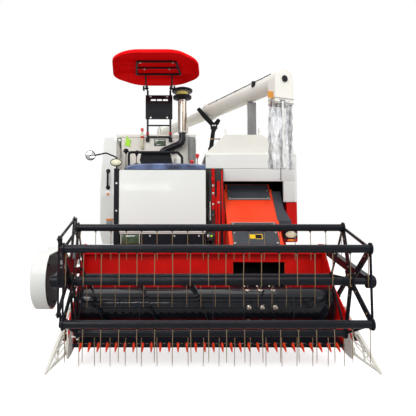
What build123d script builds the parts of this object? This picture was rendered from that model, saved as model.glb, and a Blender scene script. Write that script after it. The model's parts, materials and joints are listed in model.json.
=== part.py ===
from build123d import *
import os
from math import acos, atan2, cos, hypot, pi, radians, sin

# Tracked full-feed combine harvester with a tined reel header and a swinging unloading tube.
# Millimetres. The machine faces -Y, +Z is up and +X is its left side. The ground is z = 0.

# ---------------------------------------------------------------- driving sizes
RUN = 0.3            # running gap at pins, shafts and rollers
SEAT = 0.3           # gap between a covering part and the part it is seated on

# undercarriage
TRACK_GAUGE = 1184
TRACK_WIDTH = 450
BELT = 25
LUG_HEIGHT = 35
LUG_PITCH = 90
GUIDE_HEIGHT = 32
GUIDE_WIDTH = 44
ROLLER_R = 75
BOTTOM_ROLLERS = 7
FRONT_ROLLER_Y = 420
REAR_ROLLER_Y = 1980
SPROCKET_Y = 120
SPROCKET_Z = 430
SPROCKET_R = 130
IDLER_Y = 2230
IDLER_Z = 300
IDLER_R = 150
TOP_ROLLER_Y = 1200
TOP_ROLLER_Z = 450
TOP_ROLLER_R = 60
DISC_GAP = 36        # half gap between the twin discs of each roller
DISC = 40            # width of each disc
BEAM_W = 70
BEAM_H = 110
BEAM_Z = 225

# chassis
RAIL_X = 310         # centre of each chassis rail from the mid plane
RAIL_Y0 = 110
RAIL_W = 80
RAIL_Z = 560
RAIL_H = 80
CROSS_H = 60
CROSS_W = 60
CROSS_Y = (100, 640, 985, 1450, 1930, 2450)
BODY_X0 = -1060      # right side of the body
BODY_X1 = 1070       # left side of the body

# thresher
THRESH_X0 = 67
THRESH_X1 = 1101
THRESH_Y0 = 190      # face of the front cover
THRESH_Y1 = 738      # front wall of the threshing housing
THRESH_Y2 = 2650
THRESH_Z0 = 760
THRESH_Z1 = 2075
HUMP_H = 215
HUMP_X0 = 291
HUMP_X1 = 708
SHEET = 20
DOOR_T = 25
NOTCH_X = 944        # left edge of the front cover's notch for the feeder
NOTCH_Z = 1513
COVER_ROUND = 28     # rounding of the moulded covers' outer edges

# feeder and header
FEED_X0 = 285
FEED_X1 = 850
PIVOT_Y = 520        # header lift pivot
PIVOT_Z = 1480
FEED_END_R = 195
ROOF_LOW = (-160, 1030)                              # lower end of the feeder's roof: y, z
ROOF_HIGH = (PIVOT_Y - 150, PIVOT_Z + FEED_END_R)
FLOOR_HIGH = (PIVOT_Y + 100, PIVOT_Z - 150)
HEAD_HALF = 1190     # inner half width of the header
HEAD_BACK_Y = -258
FLOOR_LOW = (HEAD_BACK_Y, 545)
HEAD_TOP_Z = 940
HEAD_SHEET = 15
AUGER_Y = -520
AUGER_Z = 475
AUGER_TUBE_R = 165
AUGER_R = 235
FLIGHT_T = 8
FLIGHT_PITCH = 475
TROUGH_GAP = 12
KNIFE_Y = -862
FINGER_PITCH = 76.2
FINGERS = int(2 * HEAD_HALF / FINGER_PITCH) - 1
FINGER_TIP_Y = -958

# reel
REEL_Y = -1300
REEL_Z = 760
REEL_R = 450
REEL_BARS = 5
REEL_PHASE = 36      # first bar, degrees up from straight ahead
BAR_R = 29
BAR_HALF = HEAD_HALF - 87
TINES = 18
TINE_PITCH = (2 * BAR_HALF - 52) / (TINES - 1)
TINE_DROP = 250
TINE_W = 6
CRANK = 67           # crank arm, and the height of the eccentric centre above the reel centre
CRANK_T = 8
RING_T = 10
ARM_PIVOT_Y = -250
ARM_PIVOT_Z = 1000
SIDE_SHEET = 12
ARM_X = HEAD_HALF + SIDE_SHEET + 10   # inner face of each reel arm
ARM_W = 50
REEL_CYL_BASE = (-600, 565)
REEL_CYL_EYE = (-900, 785)
LIFT_CYL_X = 420
LIFT_CYL_BASE = (660, 830)
LIFT_CYL_EYE = (240, 905)
PIN_R = 12
GUARD_X = -HEAD_HALF - 400            # outer face of the belt guard
GUARD_W = 145

# operator station
FLOOR_Z = 1040
PANEL_X0 = -890
PANEL_X1 = 50
PANEL_Z0 = 1167
PANEL_Z1 = 1847
DECK_Z = 1560
DECK_Y0 = 560
DECK_Y1 = 1080
COVER_X = -1190

# grain tank and canopy
TANK_Y0 = 1112
TANK_Y1 = 2560
TANK_X1 = 10
TANK_Z0 = 1000
TANK_Z1 = 2500
POST_X = (-640, -335)
POST_Y = 1097
CANOPY_PIVOT_Z = 3128
CANOPY_Z = 3235

# intake pipe
INTAKE_X = -176
INTAKE_Y = 1035
INTAKE_Z = 2499
CLEANER_Z = 2944

# unloading tube
ROOT_X = -430
ROOT_Y = TANK_Y1 + 340
ROOT_Z = 2960
SPOUT_X = 838
SPOUT_Y = -340
SPOUT_Z = 2740
TUBE_R = 82
WIDE_TUBE_R = 98     # outer half of the unloading tube
FLANGE_R = WIDE_TUBE_R + 20
COLUMN_R = 112
REST_Y = 1158        # forked rest of the tube
HOOD_W = 219
HOOD_DEPTH = 133
HOOD_DROP = 262      # tube axis to the hood's lower rim
SLEEVE_Z0 = 1810


# ---------------------------------------------------------------- helpers
def block(x0, x1, y0, y1, z0, z1):
    """Rectangular block between two corners."""
    return Pos((x0 + x1) / 2, (y0 + y1) / 2, (z0 + z1) / 2) * Box(x1 - x0, y1 - y0, z1 - z0)


def rod(start, end, radius):
    """Round bar between two points."""
    a, b = Vector(*start), Vector(*end)
    return Part() + Solid.make_cylinder(radius, (b - a).length, Plane(origin=a, z_dir=(b - a)))


def flat(start, end, width, height, side=(1, 0, 0)):
    """Rectangular bar between two points, its width measured along side."""
    a, b = Vector(*start), Vector(*end)
    plane = Plane(origin=a, x_dir=Vector(*side), z_dir=(b - a))
    return extrude(plane * Rectangle(width, height), (b - a).length)


def prism_x(points, x0, x1):
    """Outline in (y, z), extruded from x0 to x1."""
    plane = Plane(origin=(x0, 0, 0), x_dir=(0, 1, 0), z_dir=(1, 0, 0))
    return extrude(plane * make_face(Polyline(*points, close=True)), x1 - x0)


def prism_y(points, y0, y1):
    """Outline in (x, z), extruded from y0 to y1."""
    plane = Plane(origin=(0, y1, 0), x_dir=(1, 0, 0), z_dir=(0, -1, 0))
    return extrude(plane * make_face(Polyline(*points, close=True)), y1 - y0)


def prism_z(points, z0, z1):
    """Outline in (x, y), extruded from z0 to z1."""
    return extrude(Plane.XY.offset(z0) * make_face(Polyline(*points, close=True)), z1 - z0)


def pipe(points, radius, bend):
    """Round tube along straight runs joined by arcs."""
    path = FilletPolyline(*points, radius=bend)
    section = Plane(origin=path @ 0, z_dir=path % 0) * Circle(radius)
    return sweep(section, path=path)


def fuse(parts):
    """One part from a list."""
    whole = parts[0]
    return whole + parts[1:] if len(parts) > 1 else whole


def group(parts):
    """Separate solids kept in one node."""
    return Compound([solid for part in parts for solid in part.solids()])


def edges_at(part, corner):
    """Edges of a part that end at one corner."""
    return [edge for edge in part.edges() if any((v.center() - Vector(*corner)).length < 0.01 for v in edge.vertices())]


def mirror_x(part):
    """The same part on the other side of the mid plane."""
    return mirror(part, about=Plane.YZ)


def along(start, end, share):
    """Point at a share of the way between two points."""
    return tuple(a + (b - a) * share for a, b in zip(start, end))


# ---------------------------------------------------------------- undercarriage
# Wheels inside each belt in the order the belt passes them: y, z, radius.
WHEELS = (
    (FRONT_ROLLER_Y, LUG_HEIGHT + BELT + ROLLER_R + RUN, ROLLER_R + RUN),
    (REAR_ROLLER_Y, LUG_HEIGHT + BELT + ROLLER_R + RUN, ROLLER_R + RUN),
    (IDLER_Y, IDLER_Z, IDLER_R + RUN),
    (TOP_ROLLER_Y, TOP_ROLLER_Z, TOP_ROLLER_R + RUN),
    (SPROCKET_Y, SPROCKET_Z, SPROCKET_R + RUN),
)


def belt_runs():
    """Straight and curved runs of the belt: kind, length and what places them."""
    count = len(WHEELS)
    normals = []
    for i in range(count):
        y0, z0, r0 = WHEELS[i]
        y1, z1, r1 = WHEELS[(i + 1) % count]
        heading = atan2(z1 - z0, y1 - y0)
        normals.append(heading - acos((r0 - r1) / hypot(y1 - y0, z1 - z0)))
    runs = []
    for i in range(count):
        y0, z0, r0 = WHEELS[i]
        turn = (normals[i] - normals[i - 1]) % (2 * pi)
        runs.append(("arc", turn, i, normals[i - 1]))
        runs.append(("line", 0, i, normals[i]))
    return runs


def belt_point(distance, offset):
    """Point of the loop at a distance along its cord line, offset outward from the inner face."""
    cord = BELT / 2
    for kind, turn, i, normal in belt_runs():
        y, z, r = WHEELS[i]
        if kind == "arc":
            length = turn * (r + cord)
            if distance <= length:
                angle = normal + distance / (r + cord)
                return (y + (r + offset) * cos(angle), z + (r + offset) * sin(angle))
        else:
            y1, z1, r1 = WHEELS[(i + 1) % len(WHEELS)]
            a = (y + (r + offset) * cos(normal), z + (r + offset) * sin(normal))
            b = (y1 + (r1 + offset) * cos(normal), z1 + (r1 + offset) * sin(normal))
            length = hypot(b[0] - a[0], b[1] - a[1])
            if distance <= length:
                return (a[0] + (b[0] - a[0]) * distance / length, a[1] + (b[1] - a[1]) * distance / length)
        distance -= length
    return belt_point(0, offset)


def belt_length():
    """Length of the cord line."""
    total = 0
    for kind, turn, i, normal in belt_runs():
        y, z, r = WHEELS[i]
        if kind == "arc":
            total += turn * (r + BELT / 2)
        else:
            y1, z1, r1 = WHEELS[(i + 1) % len(WHEELS)]
            total += hypot(y1 - y, z1 - z) if r == r1 else (hypot(y1 - y, z1 - z) ** 2 - (r1 - r) ** 2) ** 0.5
    return total


def inner_face(x):
    """Face enclosed by the belt's smooth inner surface, at x."""
    edges = []
    for kind, turn, i, normal in belt_runs():
        y, z, r = WHEELS[i]
        if kind == "arc":
            spots = [(y + r * cos(normal + turn * k / 2), z + r * sin(normal + turn * k / 2)) for k in range(3)]
            edges.append(ThreePointArc(*spots))
        else:
            y1, z1, r1 = WHEELS[(i + 1) % len(WHEELS)]
            edges.append(Line((y + r * cos(normal), z + r * sin(normal)),
                              (y1 + r1 * cos(normal), z1 + r1 * sin(normal))))
    plane = Plane(origin=(x, 0, 0), x_dir=(0, 1, 0), z_dir=(1, 0, 0))
    return plane * make_face(edges)


def toothed_face(x, phase, base, tip, root_w, tip_w):
    """Closed outline with one tooth a pitch, from offset base to offset tip."""
    length = belt_length()
    count = round(length / LUG_PITCH)
    pitch = length / count
    points = []
    for k in range(count):
        centre = (k + phase) * pitch
        for shift, offset in ((-root_w, base), (-tip_w, tip), (tip_w, tip), (root_w, base)):
            points.append(belt_point((centre + shift / 2) % length, offset))
    plane = Plane(origin=(x, 0, 0), x_dir=(0, 1, 0), z_dir=(1, 0, 0))
    return plane * make_face(Polyline(*points, close=True))


def track(centre_x):
    """Rubber track: two rows of staggered lugs outside and a row of guide teeth inside."""
    x0 = centre_x - TRACK_WIDTH / 2
    outer_row = extrude(toothed_face(x0, 0.25, BELT, BELT + LUG_HEIGHT, 56, 36) - inner_face(x0), TRACK_WIDTH / 2)
    inner_row = extrude(toothed_face(centre_x, 0.75, BELT, BELT + LUG_HEIGHT, 56, 36) - inner_face(centre_x),
                        TRACK_WIDTH / 2)
    x1 = centre_x - GUIDE_WIDTH / 2
    guide = toothed_face(x1, 0.5, 8, -GUIDE_HEIGHT, 40, 24)
    guides = extrude(inner_face(x1) - guide, GUIDE_WIDTH)
    return outer_row + inner_row + guides


def twin_roller(x, y, z, radius, hub, reach):
    """Two discs on one axle, with the gap between them for the guide teeth."""
    parts = [rod((x - reach, y, z), (x + reach, y, z), hub)]
    for side in (-1, 1):
        inner = x + side * DISC_GAP
        parts.append(rod((inner, y, z), (inner + side * DISC, y, z), radius))
    return fuse(parts)


def undercarriage(x):
    """Track frame with its bottom rollers, top roller, rear idler and front sprocket."""
    half = BEAM_W / 2
    bearing_w = DISC_GAP - 1
    parts = [block(x - half, x + half, FRONT_ROLLER_Y - 90, REAR_ROLLER_Y + 100, BEAM_Z, BEAM_Z + BEAM_H)]
    roller_z = WHEELS[0][1]
    for k in range(BOTTOM_ROLLERS):
        y = FRONT_ROLLER_Y + (REAR_ROLLER_Y - FRONT_ROLLER_Y) * k / (BOTTOM_ROLLERS - 1)
        parts.append(twin_roller(x, y, roller_z, ROLLER_R, 20, 82))
        parts.append(block(x - bearing_w, x + bearing_w, y - 34, y + 34, roller_z - 34, BEAM_Z))
    parts.append(twin_roller(x, TOP_ROLLER_Y, TOP_ROLLER_Z, TOP_ROLLER_R, 18, 82))
    parts.append(block(x - 20, x + 20, TOP_ROLLER_Y - 24, TOP_ROLLER_Y + 24, BEAM_Z + BEAM_H, TOP_ROLLER_Z + 24))
    parts.append(twin_roller(x, IDLER_Y, IDLER_Z, IDLER_R, 30, 90))
    parts.append(block(x - 22, x + 22, REAR_ROLLER_Y + 100, IDLER_Y + 20, IDLER_Z - 34, IDLER_Z + 26))
    teeth = []
    count = 11
    for k in range(count):
        for shift, radius in ((-0.3, 96), (-0.16, SPROCKET_R), (0.16, SPROCKET_R), (0.3, 96)):
            angle = 2 * pi * (k + shift) / count
            teeth.append((SPROCKET_Y + radius * cos(angle), SPROCKET_Z + radius * sin(angle)))
    sprocket = [rod((x - 71.7, SPROCKET_Y, SPROCKET_Z), (x + 71.7, SPROCKET_Y, SPROCKET_Z), 58)]
    for side in (-1, 1):
        sprocket.append(prism_x(teeth, x + side * 48 - 8, x + side * 48 + 8))
    return group([fuse(parts), fuse(sprocket)])


def chassis():
    """Rails, outriggers, gearbox and the legs down to the track frames."""
    frame_x = TRACK_GAUGE / 2
    beam_side = frame_x - BEAM_W / 2
    parts = []
    for side in (-1, 1):
        centre = side * RAIL_X
        parts.append(block(centre - RAIL_W / 2, centre + RAIL_W / 2, RAIL_Y0, ROOT_Y + 90, RAIL_Z, RAIL_Z + RAIL_H))
        for y in (650, 1650):
            parts.append(block(centre - RAIL_W / 2, centre + RAIL_W / 2, y - 40, y + 40, 240, RAIL_Z))
    for y in (650, 1650):
        parts.append(block(-beam_side, beam_side, y - 40, y + 40, 240, 320))
    for y in CROSS_Y:
        parts.append(block(BODY_X0 + 10, BODY_X1 + 10, y, y + CROSS_W, RAIL_Z + RAIL_H, RAIL_Z + RAIL_H + CROSS_H))
    deck = RAIL_Z + RAIL_H + CROSS_H
    for y in (1450, 2450):
        parts.append(block(-760, -300, y, y + CROSS_W, deck, TANK_Z0))
        parts.append(block(120, BODY_X1, y, y + CROSS_W, deck, THRESH_Z0))
    parts.append(block(-160, 160, 10, 300, 300, RAIL_Z + 40))
    parts.append(block(-RAIL_X, RAIL_X, RAIL_Y0, RAIL_Y0 + 60, RAIL_Z, RAIL_Z + RAIL_H))
    hub_end = frame_x - 72
    parts.append(rod((-hub_end, SPROCKET_Y, SPROCKET_Z), (hub_end, SPROCKET_Y, SPROCKET_Z), 52))
    for x, top in ((125, 1880), (185, 1740)):
        parts.append(block(x, x + 34, 112, 150, deck, top))
    return fuse(parts)


def engine():
    """Engine as one plain block."""
    return block(-880, -300, 640, 1030, RAIL_Z + RAIL_H + CROSS_H, 1290)


# ---------------------------------------------------------------- thresher
def thresher_body():
    """Closed threshing housing with the cheeks that carry the feeder pivot."""
    body = prism_x([(THRESH_Y1, THRESH_Z0), (THRESH_Y2, THRESH_Z0), (THRESH_Y2, THRESH_Z1), (THRESH_Y1, THRESH_Z1)],
                   THRESH_X0 + 3, BODY_X1)
    parts = [body]
    for x in (FEED_X0 - 26, FEED_X1 + 6):
        cheek = [(THRESH_Y1, PIVOT_Z - 160), (THRESH_Y1, PIVOT_Z + 160), (PIVOT_Y - 40, PIVOT_Z + 60),
                 (PIVOT_Y - 60, PIVOT_Z), (PIVOT_Y - 40, PIVOT_Z - 60)]
        parts.append(prism_x(cheek, x, x + 20))
    parts.append(rod((FEED_X0 - 26, PIVOT_Y, PIVOT_Z), (FEED_X1 + 26, PIVOT_Y, PIVOT_Z), 30))
    return fuse(parts)


def front_cover():
    """Moulded cover over the thresher front, stepped round the feeder house."""
    shell = block(THRESH_X0, THRESH_X1, THRESH_Y0, THRESH_Y1, NOTCH_Z, THRESH_Z1)
    shell = fillet(edges_at(shell, (THRESH_X1, THRESH_Y0, THRESH_Z1)), COVER_ROUND)
    shell -= block(THRESH_X0 - 1, THRESH_X1 - SHEET, THRESH_Y0 + 25, THRESH_Y1 + 1, NOTCH_Z - 1, THRESH_Z1 - 25)
    notch = [(THRESH_X0 - 1, NOTCH_Z - 1), (NOTCH_X, NOTCH_Z - 1), (NOTCH_X, 1749), (168, 1749), (168, 1895),
             (THRESH_X0 - 1, 1895)]
    return shell - prism_y(notch, THRESH_Y0 - 1, THRESH_Y0 + 26)


def top_cover():
    """Arched cover over the threshing drum, with two lifting lugs."""
    z = THRESH_Z1
    top = z + HUMP_H
    outline = [(90, z), (1070, z), (1070, z + 20), (HUMP_X1, top), (HUMP_X0, top), (90, z + 20)]
    cover = prism_y(outline, THRESH_Y0 + 40, THRESH_Y2 - 10)
    parts = [fillet(cover.edges().filter_by(Axis.Y).group_by(Axis.Z)[-1], COVER_ROUND)]
    for x in (HUMP_X0 + 14, HUMP_X1 - 14):
        lug = block(x - 6, x + 6, 240, 320, top - 6, top + 50)
        lug += rod((x - 6, 280, top + 50), (x + 6, 280, top + 50), 40)
        parts.append(lug - rod((x - 20, 280, top + 50), (x + 20, 280, top + 50), 16))
    return fuse(parts)


def lower_side_panel():
    """Red lower side panel with the front housing beside the feeder."""
    front = block(980, THRESH_X1, THRESH_Y0 + 15, THRESH_Y1, 1060, NOTCH_Z - SEAT)
    front = fillet(edges_at(front, (THRESH_X1, THRESH_Y0 + 15, 1060)), 20)
    side = block(BODY_X1 + SEAT, THRESH_X1, THRESH_Y1, THRESH_Y2 - 40, THRESH_Z0 + 20, 1290)
    return front + side


def side_door():
    """Left side door over the thresher drives, with two pressed panels and its hinge knuckles."""
    x0, x1 = BODY_X1 + 0.6, BODY_X1 + 0.6 + DOOR_T
    y0, z0, z1 = THRESH_Y1 + 12, 1300, THRESH_Z1 - 30
    door = block(x0, x1, y0, 2440, z0, z1)
    for start in (y0 + 90, 1640):
        pressing = block(x1 - 6, x1 + 1, start, start + 710, z0 + 90, z1 - 90)
        door -= fillet(pressing.edges().filter_by(Axis.X), 40)
    for z in (z0 + 80, z1 - 140):
        door += rod((x1, y0, z), (x1, y0, z + 60), 8)
    return door


def straw_hood():
    """Straw outlet hood at the rear, open downward."""
    outer = [(THRESH_Y2, 1900), (THRESH_Y2, 860), (2980, 800), (3220, 880), (3220, 1300), (2990, 1800)]
    inner = [(THRESH_Y2 - 10, 1880), (THRESH_Y2 - 10, 700), (2980, 700), (3200, 700), (3200, 1295), (2978, 1782)]
    return prism_x(outer, 110, 1050) - prism_x(inner, 130, 1030)


# ---------------------------------------------------------------- feeder and header
def feeder_house():
    """Inclined conveyor housing about its upper shaft: roof, end and floor plates between two cheeks."""
    r = FEED_END_R
    # bends from the mouth's roof round the upper end to the mouth's floor: outer y, z, inner y, z
    bends = (
        (HEAD_BACK_Y, 950, HEAD_BACK_Y, 862),
        (*ROOF_LOW, -180, 940),
        (*ROOF_HIGH, PIVOT_Y - 130, PIVOT_Z + 110),
        (PIVOT_Y + 60, PIVOT_Z + r - 10, PIVOT_Y + 40, PIVOT_Z + 150),
        (PIVOT_Y + r - 20, PIVOT_Z + 60, PIVOT_Y + 150, PIVOT_Z + 40),
        (*FLOOR_HIGH, PIVOT_Y + 80, PIVOT_Z - 110),
        (*FLOOR_LOW, HEAD_BACK_Y, FLOOR_LOW[1] + 17),
    )
    parts = [prism_x([a[:2], b[:2], b[2:], a[2:]], FEED_X0 + SHEET, FEED_X1 - SHEET) for a, b in zip(bends, bends[1:])]
    for x in (FEED_X0, FEED_X1 - SHEET):
        cheek = prism_x([bend[:2] for bend in bends], x, x + SHEET)
        parts.append(cheek - rod((x - 1, PIVOT_Y, PIVOT_Z), (x + SHEET + 1, PIVOT_Y, PIVOT_Z), 30 + RUN))
    return parts


def roof_plate(x0, x1, share0, share1):
    """Dark cover plate on the feeder's roof, between two shares of its slope."""
    start, end = (Vector(0, *along(ROOF_LOW, ROOF_HIGH, share)) for share in (share0, share1))
    way = (end - start).normalized()
    plane = Plane(origin=start + Vector(x0, 0, 0), x_dir=(1, 0, 0), z_dir=Vector(1, 0, 0).cross(way))
    sheet = Pos((x1 - x0) / 2, (end - start).length / 2, 5) * Box(x1 - x0, (end - start).length, 10)
    return plane * fillet(sheet.edges().filter_by(Axis.Z), 12)


def feeder_guard():
    """Dark guard over the feeder's side drive, and the two dark plates on the feeder's roof."""
    outline = [(60, 1210), (60, 1290), (PIVOT_Y - 190, PIVOT_Z + 120), (PIVOT_Y - 90, PIVOT_Z + 120),
               (PIVOT_Y - 90, PIVOT_Z - 60)]
    guard = prism_x(outline, FEED_X1 + 24, NOTCH_X - 6) + block(FEED_X1, FEED_X1 + 24, 160, 240, 1300, 1380)
    x0, x1 = FEED_X0 + 40, FEED_X1 - 40
    return group([guard, roof_plate(x0, x1, 0.006, 0.37), roof_plate(x0, x1, 0.79, 0.99)])


def header_trough():
    """Curved floor, back wall with the feeder opening, and top beam of the header."""
    r0, r1 = AUGER_R + TROUGH_GAP, AUGER_R + TROUGH_GAP + HEAD_SHEET
    steps = [radians(-13 * k) for k in range(9)]
    upper = [(AUGER_Y + r0 * cos(a), AUGER_Z + r0 * sin(a)) for a in steps]
    lower = [(AUGER_Y + r1 * cos(a), AUGER_Z + r1 * sin(a)) for a in steps]
    lip_y = KNIFE_Y + 30
    floor = prism_x(upper + [(lip_y, 184), (lip_y, 160)] + lower[::-1], -HEAD_HALF, HEAD_HALF)
    wall = block(-HEAD_HALF, HEAD_HALF, upper[0][0], lower[0][0], AUGER_Z, HEAD_TOP_Z)
    wall -= block(FEED_X0 + 15, FEED_X1 - 15, HEAD_BACK_Y - 60, HEAD_BACK_Y + 30, 560, 863)
    beam = block(-HEAD_HALF, HEAD_HALF, HEAD_BACK_Y - 75, lower[0][0], HEAD_TOP_Z, HEAD_TOP_Z + 70)
    return group([floor, wall, fillet(beam.edges().filter_by(Axis.X), 10)])


def side_plate(sign):
    """End sheet of the header with the pin of the reel arm and the pin of the reel cylinder."""
    outline = [(ARM_PIVOT_Y + 40, ARM_PIVOT_Z + 45), (ARM_PIVOT_Y + 40, 900), (HEAD_BACK_Y + 10, 860),
               (HEAD_BACK_Y + 10, 300), (-430, 205), (-860, 110), (-1010, 90), (-1040, 160), (-960, 420), (-640, 640),
               (-480, 860), (-330, ARM_PIVOT_Z + 45)]
    outer = HEAD_HALF + SIDE_SHEET
    sheet = prism_x(outline, HEAD_HALF, outer)
    sheet -= rod((HEAD_HALF - 5, AUGER_Y, AUGER_Z), (outer + 5, AUGER_Y, AUGER_Z), 26 + RUN)
    arm_pin = rod((outer, ARM_PIVOT_Y, ARM_PIVOT_Z), (ARM_X + ARM_W + 4, ARM_PIVOT_Y, ARM_PIVOT_Z), 18)
    y, z = REEL_CYL_BASE
    cylinder_pin = rod((outer, y, z), (ARM_X + ARM_W, y, z), PIN_R)
    plate = fuse([sheet, arm_pin, cylinder_pin])
    return plate if sign > 0 else mirror_x(plate)


def divider(sign):
    """Crop divider: a pointed frame of tubes on the front of the end sheet."""
    outer = HEAD_HALF + SIDE_SHEET
    tip = (outer + 98, REEL_Y, 58)
    feet = [(outer + 12, -1005, 130), (outer + 12, -965, 330), (outer + 12, -860, 470)]
    parts = [block(outer, outer + 24, -1010, -840, 120, 180), block(outer, outer + 24, -985, -845, 300, 360),
             block(outer, outer + 24, -880, -820, 440, 500)]
    for foot in feet:
        parts.append(rod(foot, tip, 10))
    mid_low, mid_high = along(feet[0], tip, 0.45), along(feet[2], tip, 0.45)
    parts.append(rod(mid_low, mid_high, 8))
    parts.append(Pos(*tip) * Sphere(14))
    frame = fuse(parts)
    return frame if sign > 0 else mirror_x(frame)


def guard_bar():
    """Cutter bar beam with its row of pointed guards."""
    parts = [block(-HEAD_HALF, HEAD_HALF, KNIFE_Y - 8, KNIFE_Y + 30, 150, 180)]
    half = (FINGERS - 1) * FINGER_PITCH / 2
    for k in range(FINGERS):
        x = k * FINGER_PITCH - half
        y0 = KNIFE_Y - 8
        parts.append(prism_z([(x - 13, y0 + 5), (x + 13, y0 + 5), (x + 9, y0 - 48), (x + 2.5, FINGER_TIP_Y),
                              (x - 2.5, FINGER_TIP_Y), (x - 9, y0 - 48)], 158, 180))
    return fuse(parts)


def knife():
    """Reciprocating knife: a back strip with triangular sections."""
    x0, x1 = -HEAD_HALF + 40, HEAD_HALF - 5 - FINGER_PITCH
    z = 180 + RUN
    count = int((x1 - x0) / FINGER_PITCH)
    points = [(x0, KNIFE_Y + 20), (x0, KNIFE_Y)]
    for k in range(count):
        left = x0 + k * FINGER_PITCH
        points += [(left + 4, KNIFE_Y), (left + FINGER_PITCH / 2 - 6, KNIFE_Y - 56),
                   (left + FINGER_PITCH / 2 + 6, KNIFE_Y - 56), (left + FINGER_PITCH - 4, KNIFE_Y)]
    points += [(x1, KNIFE_Y), (x1, KNIFE_Y + 20)]
    return prism_z(points, z, z + 4)


def flight(x0, x1, hand, phase):
    """Helical flight as one closed solid of flat strips, its inner edge inside the tube."""
    steps = max(2, round(abs(x1 - x0) / FLIGHT_PITCH * 18))
    inner, outer = AUGER_TUBE_R - 6, AUGER_R
    rings = []
    for k in range(steps + 1):
        x = x0 + (x1 - x0) * k / steps
        angle = phase + hand * 2 * pi * (x - x0) / FLIGHT_PITCH
        ring = []
        for shift, radius in ((-FLIGHT_T / 2, inner), (-FLIGHT_T / 2, outer), (FLIGHT_T / 2, outer), (FLIGHT_T / 2, inner)):
            ring.append(Vector(x + shift, AUGER_Y + radius * cos(angle), AUGER_Z + radius * sin(angle)))
        rings.append(ring)
    faces = [Face(Wire.make_polygon(rings[0])), Face(Wire.make_polygon(rings[-1]))]
    for a, b in zip(rings, rings[1:]):
        for i in range(4):
            j = (i + 1) % 4
            if i % 2:
                faces.append(Face(Wire.make_polygon([a[i], a[j], b[j], b[i]])))
            else:
                faces.append(Face(Wire.make_polygon([a[i], a[j], b[i]])))
                faces.append(Face(Wire.make_polygon([a[j], b[j], b[i]])))
    solid = Solid(Shell(faces))
    return solid if solid.volume > 0 else -solid


def header_auger():
    """Cross auger with a flight from each end and fingers in front of the feeder opening."""
    end = HEAD_HALF - 8
    parts = [rod((-end, AUGER_Y, AUGER_Z), (end, AUGER_Y, AUGER_Z), AUGER_TUBE_R)]
    parts.append(rod((-HEAD_HALF - 30, AUGER_Y, AUGER_Z), (HEAD_HALF + 30, AUGER_Y, AUGER_Z), 26))
    for k in range(9):
        angle = radians(40 * k + 20)
        x = FEED_X0 + 75 + 54 * k
        y, z = AUGER_Y + AUGER_R * cos(angle), AUGER_Z + AUGER_R * sin(angle)
        parts.append(rod((x, AUGER_Y, AUGER_Z), (x, y, z), 7))
    drum = fuse(parts)
    return drum + flight(-end + 5, 330, 1, 0.6) + flight(820, end - 5, -1, 0.6)


def belt_guard():
    """Teardrop cover over the header drive, open toward the header, with its stays."""
    front, rear = (-560, 640), (-200, 920)
    x0, x1 = GUARD_X, GUARD_X + GUARD_W

    def teardrop(front_r, rear_r):
        heading = atan2(rear[1] - front[1], rear[0] - front[0])
        points = []
        for (cy, cz), r, first in ((front, front_r, heading + pi / 2), (rear, rear_r, heading - pi / 2)):
            for k in range(9):
                angle = first + pi * k / 8
                points.append((cy + r * cos(angle), cz + r * sin(angle)))
        return points

    shell = prism_x(teardrop(205, 85), x0, x1) - prism_x(teardrop(197, 77), x0 + 8, x1 + 1)
    stays = [flat((x0 + 4, -380, 700), (-HEAD_HALF - SIDE_SHEET, -380, 700), 40, 30, (0, 1, 0)),
             flat((x0 + 4, -300, 860), (-HEAD_HALF - SIDE_SHEET, -300, 860), 30, 40, (0, 1, 0))]
    wheels = []
    for (y, z), radius, shaft_end in ((front, 150, x1), (rear, 48, -HEAD_HALF - SIDE_SHEET)):
        wheels.append(rod((x0 + 50, y, z), (x0 + 90, y, z), radius))
        wheels.append(rod((x0 + 4, y, z), (shaft_end, y, z), 20))
    return fuse([shell] + stays + wheels)


def reel_arm(sign):
    """Arm from the header's back to the reel axis, with the lug of its cylinder."""
    x = ARM_X + ARM_W / 2
    parts = [flat((x, ARM_PIVOT_Y, ARM_PIVOT_Z), (x, REEL_Y, REEL_Z), ARM_W, 70),
             rod((ARM_X, ARM_PIVOT_Y, ARM_PIVOT_Z), (ARM_X + ARM_W, ARM_PIVOT_Y, ARM_PIVOT_Z), 42),
             rod((ARM_X, REEL_Y, REEL_Z), (ARM_X + ARM_W, REEL_Y, REEL_Z), 52)]
    y, z = REEL_CYL_EYE
    for inner in (ARM_X, ARM_X + ARM_W - 10):
        parts.append(prism_x([(y - 45, z + 50), (y + 45, z + 30), (y + 16, z - 16), (y - 16, z - 16)], inner, inner + 10))
    arm = fuse(parts)
    arm -= rod((ARM_X - 1, ARM_PIVOT_Y, ARM_PIVOT_Z), (ARM_X + ARM_W + 1, ARM_PIVOT_Y, ARM_PIVOT_Z), 18 + RUN)
    arm -= rod((ARM_X - 1, REEL_Y, REEL_Z), (ARM_X + ARM_W + 1, REEL_Y, REEL_Z), 25 + RUN)
    if sign > 0:
        return arm
    neck = block(BAR_HALF + 30, ARM_X, REEL_Y - 55, REEL_Y + 55, REEL_Z - 45, REEL_Z + CRANK + 40)
    disc = rod((BAR_HALF + 13, REEL_Y, REEL_Z + CRANK), (BAR_HALF + 34, REEL_Y, REEL_Z + CRANK), 100 - RUN)
    eccentric = neck + disc - rod((BAR_HALF, REEL_Y, REEL_Z), (ARM_X + 1, REEL_Y, REEL_Z), 25 + RUN)
    return mirror_x(arm + eccentric)


def reel_angle(k):
    """Angle of bar k, up from straight ahead."""
    return radians(REEL_PHASE + 360 * k / REEL_BARS)


def reel_bar_at(k, rise=0):
    """Centre of bar k in y and z."""
    return (REEL_Y - REEL_R * cos(reel_angle(k)), REEL_Z + REEL_R * sin(reel_angle(k)) + rise)


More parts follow.
